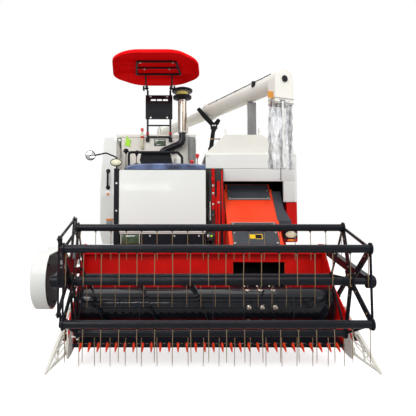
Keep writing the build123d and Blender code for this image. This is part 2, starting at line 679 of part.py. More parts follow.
def star(x, thick, rise, hub_r, bore_r, seat_r, seat_bore):
    """Five-armed plate with a rim of straight bars between its bosses."""
    spots = [reel_bar_at(k, rise) for k in range(REEL_BARS)]
    centre = (REEL_Y, REEL_Z + rise)
    parts = [rod((x, *centre), (x + thick, *centre), hub_r)]
    mid = x + thick / 2
    for k in range(REEL_BARS):
        here, there = spots[k], spots[(k + 1) % REEL_BARS]
        parts.append(flat((mid, *centre), (mid, *here), thick, 56))
        parts.append(flat((mid, *here), (mid, *there), thick, 22))
        parts.append(rod((x, *here), (x + thick, *here), seat_r))
    plate = fuse(parts)
    cuts = [rod((x - 1, *centre), (x + thick + 1, *centre), bore_r)] if bore_r else []
    cuts += [rod((x - 1, *spot), (x + thick + 1, *spot), seat_bore) for spot in spots]
    return plate - cuts


def reel_spider():
    """Reel rotor: centre tube, end stars and the stub shafts."""
    inner = BAR_HALF - 18
    parts = [rod((-inner, REEL_Y, REEL_Z), (inner, REEL_Y, REEL_Z), 30),
             rod((-ARM_X - ARM_W - 8, REEL_Y, REEL_Z), (ARM_X + ARM_W + 8, REEL_Y, REEL_Z), 25)]
    for x in (-inner - RING_T, inner):
        parts.append(star(x, RING_T, 0, 70, 0, 44, BAR_R + RUN))
    return fuse(parts)


def eccentric_ring():
    """Outer star that runs on the fixed eccentric and keeps the tines upright."""
    x = -BAR_HALF - CRANK_T - 18
    return star(x, RING_T, CRANK, 132, 100, 26, 9 + RUN)


def tine_bar(k):
    """Tine bar with its row of hanging tines and the crank at its right end."""
    y, z = reel_bar_at(k)
    parts = [rod((-BAR_HALF, y, z), (BAR_HALF, y, z), BAR_R)]
    half = (TINES - 1) * TINE_PITCH / 2
    w = TINE_W / 2
    for j in range(TINES):
        x = j * TINE_PITCH - half
        tine = [(y - w, z - BAR_R + 4), (y - w - 3, z - 120), (y - w + 6, z - TINE_DROP), (y + w + 6, z - TINE_DROP),
                (y + w - 3, z - 120), (y + w, z - BAR_R + 4)]
        parts.append(prism_x(tine, x - w, x + w))
    x = -BAR_HALF - CRANK_T
    parts.append(block(x, -BAR_HALF, y - 17, y + 17, z, z + CRANK))
    parts.append(rod((x, y, z + CRANK), (-BAR_HALF, y, z + CRANK), 17))
    parts.append(rod((x, y, z), (-BAR_HALF, y, z), 27))
    parts.append(rod((x - 20, y, z + CRANK), (x, y, z + CRANK), 9))
    return fuse(parts)


# ---------------------------------------------------------------- hydraulic cylinders
def cylinder_pair(base, eye, barrel_r, rod_r, eye_r, pin_r, width, axis=(1, 0, 0)):
    """Barrel that runs on a pin at its base, and rod whose closed eye sits between the lugs at its far end."""
    a, b, across = Vector(*base), Vector(*eye), Vector(*axis)
    way = (b - a).normalized()
    barrel_end = (b - a).length - eye_r - 30
    bore_start = a + way * (eye_r + 26)
    neck_r = min(barrel_r, width / 2 - 2)
    barrel = rod(a + way * (eye_r - 4), a + way * (eye_r + 20), neck_r)
    barrel += rod(a + way * (eye_r + 14), a + way * barrel_end, barrel_r)
    barrel += rod(a + way * (barrel_end - 26), a + way * barrel_end, barrel_r + 4)
    barrel += rod(a - across * (width / 2), a + across * (width / 2), eye_r)
    barrel -= rod(a - across * width, a + across * width, pin_r + RUN)
    barrel -= rod(bore_start, a + way * (barrel_end + 1), rod_r + RUN)
    piston = rod(bore_start + way * RUN, b - way * (eye_r - 4), rod_r)
    piston += rod(b - across * (width / 2), b + across * (width / 2), eye_r)
    return barrel, piston


def reel_cylinders():
    """Both reel cylinders: the two barrels, and the two rods."""
    x = ARM_X + ARM_W / 2
    barrel, piston = cylinder_pair((x, *REEL_CYL_BASE), (x, *REEL_CYL_EYE), 22, 12, 24, PIN_R, ARM_W - 24)
    return group([barrel, mirror_x(barrel)]), group([piston, mirror_x(piston)])


def lift_cylinder():
    """Header lift cylinder between the chassis and the feeder house."""
    x = LIFT_CYL_X
    return cylinder_pair((x, *LIFT_CYL_BASE), (x, *LIFT_CYL_EYE), 38, 22, 38, 16, 44)


def lift_cylinder_seat():
    """Lugs and pin on the chassis cross member for the lift cylinder."""
    y, z = LIFT_CYL_BASE
    x = LIFT_CYL_X
    lugs = [prism_x([(640, 698), (700, 698), (y + 24, z + 30), (y - 24, z + 30)], side, side + 12)
            for side in (x - 36, x + 24)]
    lugs.append(rod((x - 36, y, z), (x + 36, y, z), 16))
    return fuse(lugs)


def lift_cylinder_lugs():
    """Lugs under the feeder's floor, one each side of the lift cylinder's eye."""
    y, z = LIFT_CYL_EYE
    slope = (FLOOR_HIGH[1] - FLOOR_LOW[1]) / (FLOOR_HIGH[0] - FLOOR_LOW[0])
    roots = [(end, FLOOR_LOW[1] + (end - FLOOR_LOW[0]) * slope) for end in (y - 40, y + 60)]
    outline = [(y + 24, z - 24), (y - 24, z - 24)] + roots
    return [prism_x(outline, side, side + 12) for side in (LIFT_CYL_X - 36, LIFT_CYL_X + 24)]


# ---------------------------------------------------------------- operator station
def operator_platform():
    """Floor, front frame, corner pillar, legs and the engine deck that carries the seat."""
    floor = block(-950, 40, 30, DECK_Y0, FLOOR_Z - 30, FLOOR_Z)
    deck = block(-950, 40, DECK_Y0, DECK_Y1, FLOOR_Z - 30, DECK_Z)
    deck -= block(-925, 15, DECK_Y0 + 25, DECK_Y1 - 25, FLOOR_Z - 40, DECK_Z - 25)
    parts = [floor, deck]
    parts.append(block(-948, PANEL_X0 - SEAT, -5, 60, FLOOR_Z, 1864))
    parts.append(block(0, 40, 30, 54, FLOOR_Z, PANEL_Z1 - 10))
    parts.append(block(0, 40, 14, 54, PANEL_Z0, PANEL_Z1 - 10))
    parts.append(block(PANEL_X0 - 2, 40, 14, 54, PANEL_Z1 - 50, PANEL_Z1 - 10))
    base = RAIL_Z + RAIL_H + CROSS_H
    for x, y in ((-900, 105), (-60, 105), (-950, 645), (-10, 645), (-950, 985), (-10, 985)):
        parts.append(block(x, x + 50, y, y + 50, base, FLOOR_Z - 30))
    parts.append(block(-1060, -940, 190, 470, 720, 745))
    for y in (180, 470):
        parts.append(block(-1060, -940, y, y + 10, 720, FLOOR_Z - 30))
    return fuse(parts)


def front_panel():
    """Flat white front panel with rounded corners."""
    width, height = PANEL_X1 - PANEL_X0, PANEL_Z1 - PANEL_Z0
    plane = Plane(origin=((PANEL_X0 + PANEL_X1) / 2, 14, (PANEL_Z0 + PANEL_Z1) / 2), x_dir=(1, 0, 0), z_dir=(0, -1, 0))
    panel = extrude(plane * RectangleRounded(width, height, 14), 26)
    return fillet(panel.faces().sort_by(Axis.Y)[0].edges(), 5)


def lower_panel():
    """Dark kick panel under the front panel."""
    return block(PANEL_X0 + 8, PANEL_X1 - 6, 4, 30, FLOOR_Z - 20, PANEL_Z0 - 3)


def dash_cowl():
    """Arched cowl on top of the front panel."""
    z = PANEL_Z1
    outline = [(-815, z), (-815, z + 40), (-765, z + 40), (-735, z + 78), (-180, z + 78), (-150, z + 56), (-60, z + 56),
               (-48, z + 34), (50, z + 34), (50, z)]
    return prism_y(outline, -8, 280)


def console():
    """Instrument console with the handrail over the dash."""
    z = PANEL_Z1 + 78
    sides = [(-660, z), (-672, z + 40), (-650, z + 140), (-340, z + 140), (-316, z + 40), (-330, z)]
    body = prism_y(sides, 60, 240)
    rail = pipe([(-790, 30, PANEL_Z1 + 40), (-790, 30, 2048), (-255, 30, 2048), (-205, 30, 1995),
                 (-205, 30, z)], 14, 28)
    stay = rod((-500, 30, 2048), (-500, 70, 2040), 10)
    return fuse([body, rail, stay])


def control_levers():
    """Hand levers on the dash and beside the seat: x, y, foot height, top height, knob radius."""
    table = ((-715, 150, PANEL_Z1 + 78, 2080, 22), (-93, 150, PANEL_Z1 + 56, 1975, 24),
             (-30, 150, PANEL_Z1 + 34, 2050, 24), (-120, 760, DECK_Z, 1800, 20), (-200, 760, DECK_Z, 1820, 20))
    levers = []
    for x, y, foot, top, knob in table:
        levers.append(rod((x, y, foot), (x, y, top - knob), 7) + Pos(x, y, top - knob) * Sphere(knob))
    return group(levers)


def seat():
    """Seat with cushion and backrest."""
    outline = [(570, DECK_Z), (570, 1680), (590, 1710), (880, 1690), (905, 1720), (930, 2100), (950, 2130), (975, 2110),
               (965, 1640), (960, DECK_Z)]
    return prism_x(outline, -720, -280)


def side_cover():
    """Moulded cover on the right side with the recess of the radiator door."""
    outline = [(-950.3, FLOOR_Z - 4), (-950.3, DECK_Z + 10), (-1000, DECK_Z + 60), (-1000, 2300), (-1040, 2346),
               (-1134, 2346), (-1152, 2300), (COVER_X + 8, 1900), (COVER_X, 1729), (COVER_X, 1184), (-1160, FLOOR_Z - 4)]
    cover = prism_y(outline, 620, 1105)
    cover = fillet([edge for edge in cover.edges().filter_by(Axis.Y) if edge.center().X < -1100], 14)
    handle = pipe([(-1098, 621, 1725), (-1098, 575, 1725), (-1098, 575, 1930), (-1098, 621, 1930)], 11, 25)
    recess = block(COVER_X - 5, COVER_X + 22 + 2 * SEAT, 676, 1072, 1188, 1727)
    recess += block(COVER_X, COVER_X + 60, 690, 1058, 1202, 1713)
    return cover - recess + handle


def radiator_door():
    """Screen door over the radiator, with slats."""
    x0, x1 = COVER_X, COVER_X + 22
    door = block(x0, x1, 682, 1066, 1194, 1721)
    for k in range(8):
        z = 1240 + 58 * k
        door -= block(x0 - 1, x0 + 12, 720, 1030, z, z + 30)
    for z in (1240, 1615):
        door += rod((x0, 1066, z), (x0, 1066, z + 60), 5)
    return door


def rear_view_mirror():
    """Round mirror on a bent arm from the corner pillar."""
    arm = pipe([(-920, 28, 1864), (-920, 28, 1990), (-1040, 28, 2040), (-1170, 28, 2012)], 8, 40)
    head = Pos(-1212, 28, 2012) * Rot(90, 0, 0) * Cylinder(54, 14)
    plate = block(-950, -892, 12, 22, 1890, 1950)
    return fuse([arm, head, plate])


def lamps():
    """Oval headlamp, left work lamp and the tank beacon."""
    oval = extrude(Plane(origin=(-921, 12, 1924), x_dir=(1, 0, 0), z_dir=(0, -1, 0)) * Ellipse(65, 43), 55)
    work = block(930, 1075, 110, 190, 1095, 1190) + block(990, 1030, 160, 205, 1120, 1180)
    beacon = rod((-712, 1085, 2300), (-712, 1085, 2540), 20) + Pos(-712, 1085, 2555) * Sphere(28)
    beacon += block(-730, -694, 1085, TANK_Y0, 2320, 2360)
    return group([oval, work, beacon])


# ---------------------------------------------------------------- intake, exhaust and tank
def pre_cleaner():
    """Air pre-cleaner: tray, bowl and cap on the intake pipe."""
    z = CLEANER_Z
    profile = [(0, z), (62, z), (128, z + 22), (128, z + 34), (92, z + 40), (98, z + 110), (137, z + 116),
               (137, z + 138), (90, z + 160), (0, z + 162)]
    plane = Plane(origin=(INTAKE_X, INTAKE_Y, 0), x_dir=(1, 0, 0), z_dir=(0, -1, 0))
    return revolve(plane * make_face(Polyline(*profile, close=True)), Axis((INTAKE_X, INTAKE_Y, 0), (0, 0, 1)))


def intake_pipe():
    """Steel intake pipe up to the pre-cleaner."""
    return rod((INTAKE_X, INTAKE_Y, INTAKE_Z), (INTAKE_X, INTAKE_Y, CLEANER_Z), 58)


def intake_hose():
    """Rubber hose from the intake pipe down to the engine deck."""
    y = INTAKE_Y
    return pipe([(INTAKE_X, y, INTAKE_Z), (INTAKE_X, y, 2370), (-430, y, 2260), (-560, y, 2060), (-560, y, DECK_Z)], 44, 95)


def exhaust_duct():
    """Ribbed duct beside the intake."""
    parts = [rod((-52, INTAKE_Y, DECK_Z), (-52, INTAKE_Y, 2440), 46)]
    for k in range(9):
        z = 2140 + 32 * k
        parts.append(rod((-52, INTAKE_Y, z), (-52, INTAKE_Y, z + 14), 51))
    return fuse(parts)


def grain_tank():
    """Hollow grain tank with sloped floors and a hatch opening in its roof."""
    x0, x1, z0, z1, w = BODY_X0, TANK_X1, TANK_Z0, TANK_Z1, 16
    outer = [(x0, z1), (x1, z1), (x1, 1500), (-300, z0), (-760, z0), (x0, 1450)]
    inner = [(x0 + w, z1 - w), (x1 - w, z1 - w), (x1 - w, 1508), (-306, z0 + w), (-754, z0 + w), (x0 + w, 1458)]
    tank = prism_y(outer, TANK_Y0, TANK_Y1) - prism_y(inner, TANK_Y0 + w, TANK_Y1 - w)
    hatch = block(-880, -260, 1400, 2200, z1 - w - 1, z1 + 1)
    return tank - hatch


def tank_lid():
    """Hinged lid over the hatch, with its hinge knuckles and two stiffening ribs."""
    x0, z = -910, TANK_Z1 + 0.6
    lid = block(x0, -230, 1370, 2230, z, z + 22)
    for y in (1480, 2060):
        lid += rod((x0, y, z + 22), (x0, y + 60, z + 22), 8)
        lid += block(x0 + 60, -290, y + 10, y + 50, z + 22, z + 34)
    return lid


# ---------------------------------------------------------------- canopy
def canopy_posts():
    """Two posts with the slotted back plate, on the tank's front wall."""
    parts = []
    for x in POST_X:
        parts.append(rod((x, POST_Y, 2420), (x, POST_Y, CANOPY_PIVOT_Z - 30), 14))
        parts.append(block(x - 24, x + 24, POST_Y - 14, TANK_Y0, 2400, 2450))
        parts.append(block(x - 8, x + 8, POST_Y - 30, POST_Y + 30, CANOPY_PIVOT_Z - 60, CANOPY_PIVOT_Z + 26))
    parts.append(rod((POST_X[0], POST_Y, 2464), (POST_X[1], POST_Y, 2464), 13))
    parts.append(rod((POST_X[0], POST_Y, 2619), (POST_X[1], POST_Y, 2619), 11))
    plate = block(POST_X[0] - 28, POST_X[1] + 28, POST_Y - 22, POST_Y - 14 + 4, 2700, 3028)
    for k in range(3):
        x = POST_X[0] + 45 + 80 * k
        plate -= block(x, x + 66, POST_Y - 30, POST_Y, 2950, 2975)
    parts.append(plate)
    posts = fuse(parts)
    for x in POST_X:
        posts -= rod((x - 20, POST_Y, CANOPY_PIVOT_Z), (x + 20, POST_Y, CANOPY_PIVOT_Z), 8 + RUN)
    return posts


def canopy_frame():
    """Tube frame under the canopy, clamped to the posts by hand knobs."""
    z = CANOPY_Z
    corners = [(-738, 440, z), (-267, 440, z), (-205, 860, z), (-775, 860, z)]
    parts = [rod(corners[k], corners[(k + 1) % 4], 12) for k in range(4)]
    parts += [Pos(*corner) * Sphere(12) for corner in corners]
    parts.append(rod((-660, 640, z), (-330, 640, z), 10))
    parts.append(rod(along(corners[0], corners[3], 0.476), (-660, 640, z), 10))
    parts.append(rod((-330, 640, z), along(corners[1], corners[2], 0.476), 10))
    for x, side in ((POST_X[0], -1), (POST_X[1], 1)):
        reach = x + side * 20
        parts.append(rod((reach, 860, z), (reach, POST_Y - 8, CANOPY_PIVOT_Z + 6), 11))
        parts.append(rod((reach - 11, POST_Y, CANOPY_PIVOT_Z), (reach + 11, POST_Y, CANOPY_PIVOT_Z), 20))
        parts.append(rod((x - side * 14, POST_Y, CANOPY_PIVOT_Z), (reach + side * 40, POST_Y, CANOPY_PIVOT_Z), 8))
        parts.append(rod((reach + side * 22, POST_Y, CANOPY_PIVOT_Z), (reach + side * 44, POST_Y, CANOPY_PIVOT_Z), 30))
    return fuse(parts)


def canopy_face(inset, z):
    """Rounded plan outline of the canopy at a height, wider at the rear and drawn in by an inset."""
    corners = [(-1003 + inset, 120 + inset), (-30 - inset, 120 + inset), (85 - inset, 1240 - inset),
               (-1115 + inset, 1240 - inset)]
    return Plane.XY.offset(z) * make_face(FilletPolyline(*corners, radius=165 - inset / 3, close=True))


def canopy_shell():
    """Moulded canopy with a turned-down rim, dished underneath."""
    rim, seat_z, top = CANOPY_Z - 22, CANOPY_Z + 12 + SEAT, CANOPY_Z + 62
    levels = ((0, rim), (0, rim + 30), (22, rim + 52), (110, top - 10), (250, top))
    shell = loft([canopy_face(inset, z) for inset, z in levels], ruled=True)
    dish = loft([canopy_face(18, rim - 1), canopy_face(26, rim + 8), canopy_face(75, seat_z)], ruled=True)
    return shell - dish


# ---------------------------------------------------------------- unloading
TUBE_WAY = Vector(SPOUT_X - ROOT_X, SPOUT_Y - ROOT_Y, SPOUT_Z - ROOT_Z).normalized()
FLAT_WAY = Vector(TUBE_WAY.X, TUBE_WAY.Y, 0).normalized()
ACROSS = FLAT_WAY.cross(Vector(0, 0, 1))
ROOT = Vector(ROOT_X, ROOT_Y, ROOT_Z)
TUBE_LENGTH = (Vector(SPOUT_X, SPOUT_Y, SPOUT_Z) - ROOT).length
UNLOAD_BASE = ROOT + FLAT_WAY * 185 - Vector(0, 0, 480)
UNLOAD_EYE = ROOT + TUBE_WAY * 900 - Vector(0, 0, TUBE_R + 53)
TURRET_Z0 = ROOT_Z - 258
CHEEK_GAP = 112


def tube_axis(y):
    """Point of the unloading tube's axis at one y."""
    return ROOT + TUBE_WAY * ((y - ROOT_Y) / TUBE_WAY.Y)


def hood_plane(z):
    """Level plane at a height whose middle is the spout's, its x across the tube and its y along it."""
    back = Vector(SPOUT_X, SPOUT_Y, 0) - FLAT_WAY * (HOOD_DEPTH / 2)
    return Plane(origin=(back.X, back.Y, z), x_dir=ACROSS, z_dir=(0, 0, 1))


def oriented(start, way, side, length, width, height):
    """Rectangular bar from a point along a way, width along side."""
    return extrude(Plane(origin=start, x_dir=side, z_dir=way) * Rectangle(width, height), length)


def auger_column():
    """Upright auger with its boot and the cross tube from the tank."""
    base = RAIL_Z + RAIL_H
    parts = [rod((ROOT_X, ROOT_Y, base), (ROOT_X, ROOT_Y, TURRET_Z0 - RUN), COLUMN_R),
             block(ROOT_X - 130, -270, ROOT_Y - 120, ROOT_Y + 120, base, base + 150),
             rod((ROOT_X, TANK_Y1, 1100), (ROOT_X, ROOT_Y, 1100), 80)]
    return fuse(parts)


def auger_turret():
    """Turning head of the column with the cheeks of the lift hinge and the cylinder bracket."""
    top = ROOT_Z - 108
    parts = [rod((ROOT_X, ROOT_Y, TURRET_Z0), (ROOT_X, ROOT_Y, top), 126)]
    for side in (-1, 1):
        inner = ROOT + ACROSS * side * CHEEK_GAP
        cheek = oriented(inner - Vector(0, 0, 130), Vector(0, 0, 1), FLAT_WAY, 180, 110, 16)
        shift = ACROSS * side * 8
        parts.append(Part() + cheek.moved(Location(shift)))
        parts.append(rod(inner - ACROSS * side * 50, inner + ACROSS * side * 30, 24))
    parts.append(oriented(ROOT + FLAT_WAY * 135 - Vector(0, 0, 520), Vector(0, 0, 1), FLAT_WAY, 400, 30, 70))
    for side in (-1, 1):
        lug = UNLOAD_BASE + ACROSS * side * 31
        parts.append(oriented(lug - FLAT_WAY * 40, FLAT_WAY, ACROSS, 62, 10, 50))
    parts.append(rod(UNLOAD_BASE - ACROSS * 36, UNLOAD_BASE + ACROSS * 36, 14))
    return fuse(parts)


def unload_tube():
    """Unloading tube in two sizes from its knuckle to the downturned spout hood."""
    middle, end = ROOT + TUBE_WAY * (TUBE_LENGTH / 2), ROOT + TUBE_WAY * (TUBE_LENGTH - 20)
    inner = rod(ROOT - ACROSS * (CHEEK_GAP - 6), ROOT + ACROSS * (CHEEK_GAP - 6), 98) + rod(ROOT, middle, TUBE_R)
    for side in (-1, 1):
        lug = UNLOAD_EYE + ACROSS * side * 31
        inner += oriented(lug - Vector(0, 0, 22), Vector(0, 0, 1), ACROSS, 110, 10, 50)
    parts = [inner - rod(ROOT - ACROSS * 150, ROOT + ACROSS * 150, 24 + RUN)]
    # the joint between the two sizes: pairs of start from the middle and radius
    steps = ((0, FLANGE_R), (14, WIDE_TUBE_R), (30, FLANGE_R), (44, WIDE_TUBE_R))
    ends = [middle + TUBE_WAY * start for start, radius in steps] + [end]
    for (start, radius), a, b in zip(steps, ends, ends[1:]):
        parts.append(rod(a, b, radius))
    front = Vector(SPOUT_X, SPOUT_Y, SPOUT_Z)
    plane = Plane(origin=front - FLAT_WAY * HOOD_DEPTH, x_dir=-ACROSS, z_dir=FLAT_WAY)
    outline = Circle(HOOD_W / 2) + Pos(0, -HOOD_DROP / 2) * Rectangle(HOOD_W, HOOD_DROP)
    hood = extrude(plane * outline, HOOD_DEPTH)
    parts[-1] -= hood
    low = SPOUT_Z - HOOD_DROP
    hood = fillet(hood.faces().sort_by(Axis(front, FLAT_WAY))[-1].edges(), 8)
    hood += rod(front - FLAT_WAY * 4, front + FLAT_WAY * 10, 33)
    parts.append(hood - extrude(hood_plane(low - 1) * Rectangle(HOOD_W - 16, HOOD_DEPTH - 24), 122))
    return group(parts)


def spout_sleeve():
    """Clear sleeve that hangs from the spout hood."""
    wall = Rectangle(HOOD_W, HOOD_DEPTH) - Rectangle(HOOD_W - 16, HOOD_DEPTH - 16)
    return extrude(hood_plane(SLEEVE_Z0) * wall, SPOUT_Z - HOOD_DROP - SLEEVE_Z0)


def unload_cylinder():
    """Lift cylinder of the unloading tube."""
    return cylinder_pair(tuple(UNLOAD_BASE), tuple(UNLOAD_EYE), 32, 18, 30, 14, 48, tuple(ACROSS))


def tube_rest():
    """Forked rest for the unloading tube on the top cover: foot, mast and two arms."""
    y0, y1 = REST_Y - 20, REST_Y + 20
    foot_z = THRESH_Z1 + HUMP_H + 36
    axis = tube_axis(REST_Y)
    reach = WIDE_TUBE_R + 16
    low = (axis.X + 0.035 * reach, axis.Z - 1.525 * reach)
    arms, feet = [], []
    for x, z, length in ((-0.673, 0.740, 280), (0.64, 0.77, 70)):
        side = 1 if x > 0 else -1
        drop = (side * z, -side * x)
        root = (low[0] + drop[0] * 34, low[1] + drop[1] * 34)
        end = (low[0] + x * length, low[1] + z * length)
        arms.append(prism_y([low, end, (end[0] + drop[0] * 22, end[1] + drop[1] * 22), root], y0, y1))
        feet.append(root)
    mast = prism_y([feet[0], low, feet[1], (245, foot_z), (185, foot_z)], y0, y1)
    foot = block(175, HUMP_X0 + 40, REST_Y - 28, REST_Y + 32, foot_z - 36, foot_z)
    return [foot, mast] + arms


def rest_post():
    """Square post under the tube at the front of the top cover."""
    y0, y1 = THRESH_Y0 + 50, THRESH_Y0 + 115
    return block(564, 655, y0, y1, THRESH_Z1 + HUMP_H, tube_axis(y0).Z - WIDE_TUBE_R - 8)


# ---------------------------------------------------------------- assembly
frame_x = TRACK_GAUGE / 2
barrels, pistons = reel_cylinders()
lift_barrel, lift_rod = lift_cylinder()
unload_barrel, unload_rod = unload_cylinder()

nodes = {
    "track_left": track(frame_x),
    "track_right": track(-frame_x),
    "undercarriage_left": undercarriage(frame_x),
    "undercarriage_right": undercarriage(-frame_x),
    "chassis_frame": chassis() + lift_cylinder_seat(),
    "engine": engine(),
    "thresher_body": thresher_body(),
    "front_cover": front_cover(),
    "top_cover": top_cover(),
    "lower_side_panel": lower_side_panel(),
    "side_door": side_door(),
    "straw_hood": straw_hood(),
    "feeder_house": group(feeder_house() + lift_cylinder_lugs()),
    "feeder_guard": feeder_guard(),
    "header_trough": header_trough(),
    "side_plates": group([side_plate(1), side_plate(-1)]),
    "dividers": group([divider(1), divider(-1)]),
    "guard_bar": guard_bar(),
    "knife": knife(),
    "header_auger": header_auger(),
    "belt_guard": belt_guard(),
    "reel_arms": group([reel_arm(1), reel_arm(-1)]),
    "reel_spider": reel_spider(),
    "eccentric_ring": eccentric_ring(),
    "reel_cylinder_barrels": barrels,
    "reel_cylinder_rods": pistons,
    "lift_cylinder_barrel": lift_barrel,
    "lift_cylinder_rod": lift_rod,
    "operator_platform": operator_platform(),
    "front_panel": front_panel(),
    "lower_panel": lower_panel(),
    "dash_cowl": dash_cowl(),
    "console": console(),
    "control_levers": control_levers(),
    "seat": seat(),
    "side_cover": side_cover(),
    "radiator_door": radiator_door(),
    "mirror": rear_view_mirror(),
    "lamps": lamps(),
    "pre_cleaner": pre_cleaner(),
    "intake_pipe": intake_pipe(),
    "intake_hose": intake_hose(),
    "exhaust_duct": exhaust_duct(),
    "grain_tank": grain_tank(),
    "tank_lid": tank_lid(),
    "canopy_posts": canopy_posts(),
    "canopy_frame": canopy_frame(),
    "canopy_shell": canopy_shell(),
    "auger_column": auger_column(),
    "auger_turret": auger_turret(),
    "unload_tube": unload_tube(),
    "spout_sleeve": spout_sleeve(),
    "unload_cylinder_barrel": unload_barrel,
    "unload_cylinder_rod": unload_rod,
    "tube_rests": group(tube_rest() + [rest_post()]),
}
for k in range(REEL_BARS):
    nodes[f"tine_bar_{k + 1}"] = tine_bar(k)

low, high = Vector(1e6, 1e6, 1e6), Vector(-1e6, -1e6, -1e6)
for shape in nodes.values():
    box = shape.bounding_box()
    low = Vector(min(low.X, box.min.X), min(low.Y, box.min.Y), min(low.Z, box.min.Z))
    high = Vector(max(high.X, box.max.X), max(high.Y, box.max.Y), max(high.Z, box.max.Z))
SHIFT = Vector(-(low.X + high.X) / 2, -(low.Y + high.Y) / 2, -low.Z)
print("size", high - low, "shift", SHIFT)

os.makedirs("parts", exist_ok=True)
for name, shape in nodes.items():
    export_step(shape.moved(Location(SHIFT)), f"parts/{name}.step")
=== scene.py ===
import json
import random
from math import atan2, copysign, cos, exp, pi, radians, sin

import bmesh
import bpy
from mathutils import Matrix, Vector


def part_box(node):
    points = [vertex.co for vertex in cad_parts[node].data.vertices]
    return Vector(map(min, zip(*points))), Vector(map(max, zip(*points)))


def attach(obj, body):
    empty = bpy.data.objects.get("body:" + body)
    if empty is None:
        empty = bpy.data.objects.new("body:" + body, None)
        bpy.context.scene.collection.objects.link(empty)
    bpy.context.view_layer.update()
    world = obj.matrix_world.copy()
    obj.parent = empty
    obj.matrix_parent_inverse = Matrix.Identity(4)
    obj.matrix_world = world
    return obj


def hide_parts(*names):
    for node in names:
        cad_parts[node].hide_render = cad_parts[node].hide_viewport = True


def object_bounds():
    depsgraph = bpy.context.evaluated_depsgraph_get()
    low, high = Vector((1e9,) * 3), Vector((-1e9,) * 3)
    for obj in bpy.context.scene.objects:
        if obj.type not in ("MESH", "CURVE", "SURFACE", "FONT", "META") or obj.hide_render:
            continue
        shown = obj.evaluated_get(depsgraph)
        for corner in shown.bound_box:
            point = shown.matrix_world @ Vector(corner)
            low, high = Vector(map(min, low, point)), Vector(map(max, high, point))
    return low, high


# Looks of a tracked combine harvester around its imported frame. The machine faces -Y and +X is its left.
# Lengths are the part's own millimetres, which Shape.done turns into the frame's metres.
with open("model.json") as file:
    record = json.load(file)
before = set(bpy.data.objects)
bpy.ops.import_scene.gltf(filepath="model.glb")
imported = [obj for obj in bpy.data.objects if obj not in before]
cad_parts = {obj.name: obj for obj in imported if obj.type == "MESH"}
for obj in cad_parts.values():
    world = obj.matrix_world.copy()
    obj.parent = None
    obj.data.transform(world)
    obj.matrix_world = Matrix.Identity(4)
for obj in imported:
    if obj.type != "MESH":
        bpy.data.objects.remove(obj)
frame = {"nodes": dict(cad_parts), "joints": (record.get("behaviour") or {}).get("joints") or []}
CAD_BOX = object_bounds()
NODES = frame["nodes"]
PLACE = {joint["name"]: Vector(joint["pos_m"]) for joint in frame["joints"] if "pos_m" in joint}
BOX = {name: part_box(name) for name in NODES}
MM = 0.001
ORIGIN = PLACE["reel_spin"] - Vector((0, -1300, 760)) * MM      # origin of the part's own millimetres
GUARDS = 30                        # points of the cutter bar
GUARD_PITCH = 76.2
BARS = range(1, 6)                 # numbers of the reel's tine bars
BAR_HALF = 1103
BAR_R = 29
CRANK = 67
TINES = 18
TINE_HALF = BAR_HALF - 30          # outermost tine from the middle
TINE_DROP = 266
REEL_X = (1085, 1095)              # inner and outer face of each end star
RING_FACE = -1129                  # outer face of the eccentric's star
ARM_FACE = 1262                    # outer face of the reel arms
TRACK_X = 592                      # middle of each track
DRUM_LINE = 166.5                  # radius of the seams on the auger drum
SPOUT = Vector((838, -340, 2740))
SLEEVE_BACK = 66.5                 # from the spout's face back to the sleeve's middle
SLEEVE_TOP, SLEEVE_FOOT = 2520, 1812
HOOD_EDGE = 2478                   # z below which the sleeve hangs free
REST_Y = 1158                      # y of the unloading tube's front rest
CLEANER = (-176, 1035)             # x and y of the pre-cleaner and the intake pipe
COWL_BASE = 1847
COVER_FACE = 190                   # y of the thresher's front cover
PANEL_FACE = 14                    # y of the front panel
ROOF_LOW = Vector((0, -160, 1030))
ROOF_HIGH = Vector((0, 370, 1675))
UP = Vector((0, 0, 1))
DOWN = -UP
FRONT = Vector((0, -1, 0))
REAR = Vector((0, 1, 0))
LEFT = Vector((1, 0, 0))
RIGHT = -LEFT
ROOF_UP = LEFT.cross((ROOF_HIGH - ROOF_LOW).normalized())
random.seed(7)


def pivot(joint):
    """Point on a joint's axis."""
    return (PLACE[joint] - ORIGIN) / MM


TUBE_ROOT = pivot("unload_swing")
TUBE_WAY = (SPOUT - TUBE_ROOT).normalized()
FLAT_WAY = Vector((TUBE_WAY.x, TUBE_WAY.y, 0)).normalized()
ACROSS = FLAT_WAY.cross(UP)


# ---------------------------------------------------------------- materials
def plug(tree, target, **values):
    """Sets a node's inputs by name, or links them where the value is a socket; other names are its properties."""
    for name, value in values.items():
        name = name.replace("_", " ")
        if name not in target.inputs:
            setattr(target, name.replace(" ", "_"), value)
        else:
            connect(tree, value, target.inputs[name])


def connect(tree, value, socket):
    """Links a socket to another one, or sets its value."""
    if isinstance(value, bpy.types.NodeSocket):
        tree.links.new(value, socket)
    else:
        socket.default_value = (*value, 1) if socket.type == "RGBA" else value


def node(tree, kind, **values):
    """New shader node with its inputs and properties set by name."""
    made = tree.nodes.new(kind)
    plug(tree, made, **values)
    return made


def noise(tree, scale, detail=4.0, stretch=(1, 1, 1)):
    """Noise factor in the piece's own coordinates."""
    place = node(tree, "ShaderNodeTexCoord").outputs["Object"]
    mapped = node(tree, "ShaderNodeMapping", Vector=place, Scale=stretch).outputs["Vector"]
    return node(tree, "ShaderNodeTexNoise", Vector=mapped, Scale=scale, Detail=detail).outputs["Fac"]


def spread(tree, factor, low, high, start=0.0, end=1.0):
    """Factor mapped to a range."""
    return node(tree, "ShaderNodeMapRange", Value=factor, From_Min=start, From_Max=end, To_Min=low,
                To_Max=high).outputs["Result"]


def calc(tree, operation, *values):
    """Result of a calculation with two values or sockets."""
    made = node(tree, "ShaderNodeMath", operation=operation)
    for value, socket in zip(values, made.inputs):
        connect(tree, value, socket)
    return made.outputs[0]


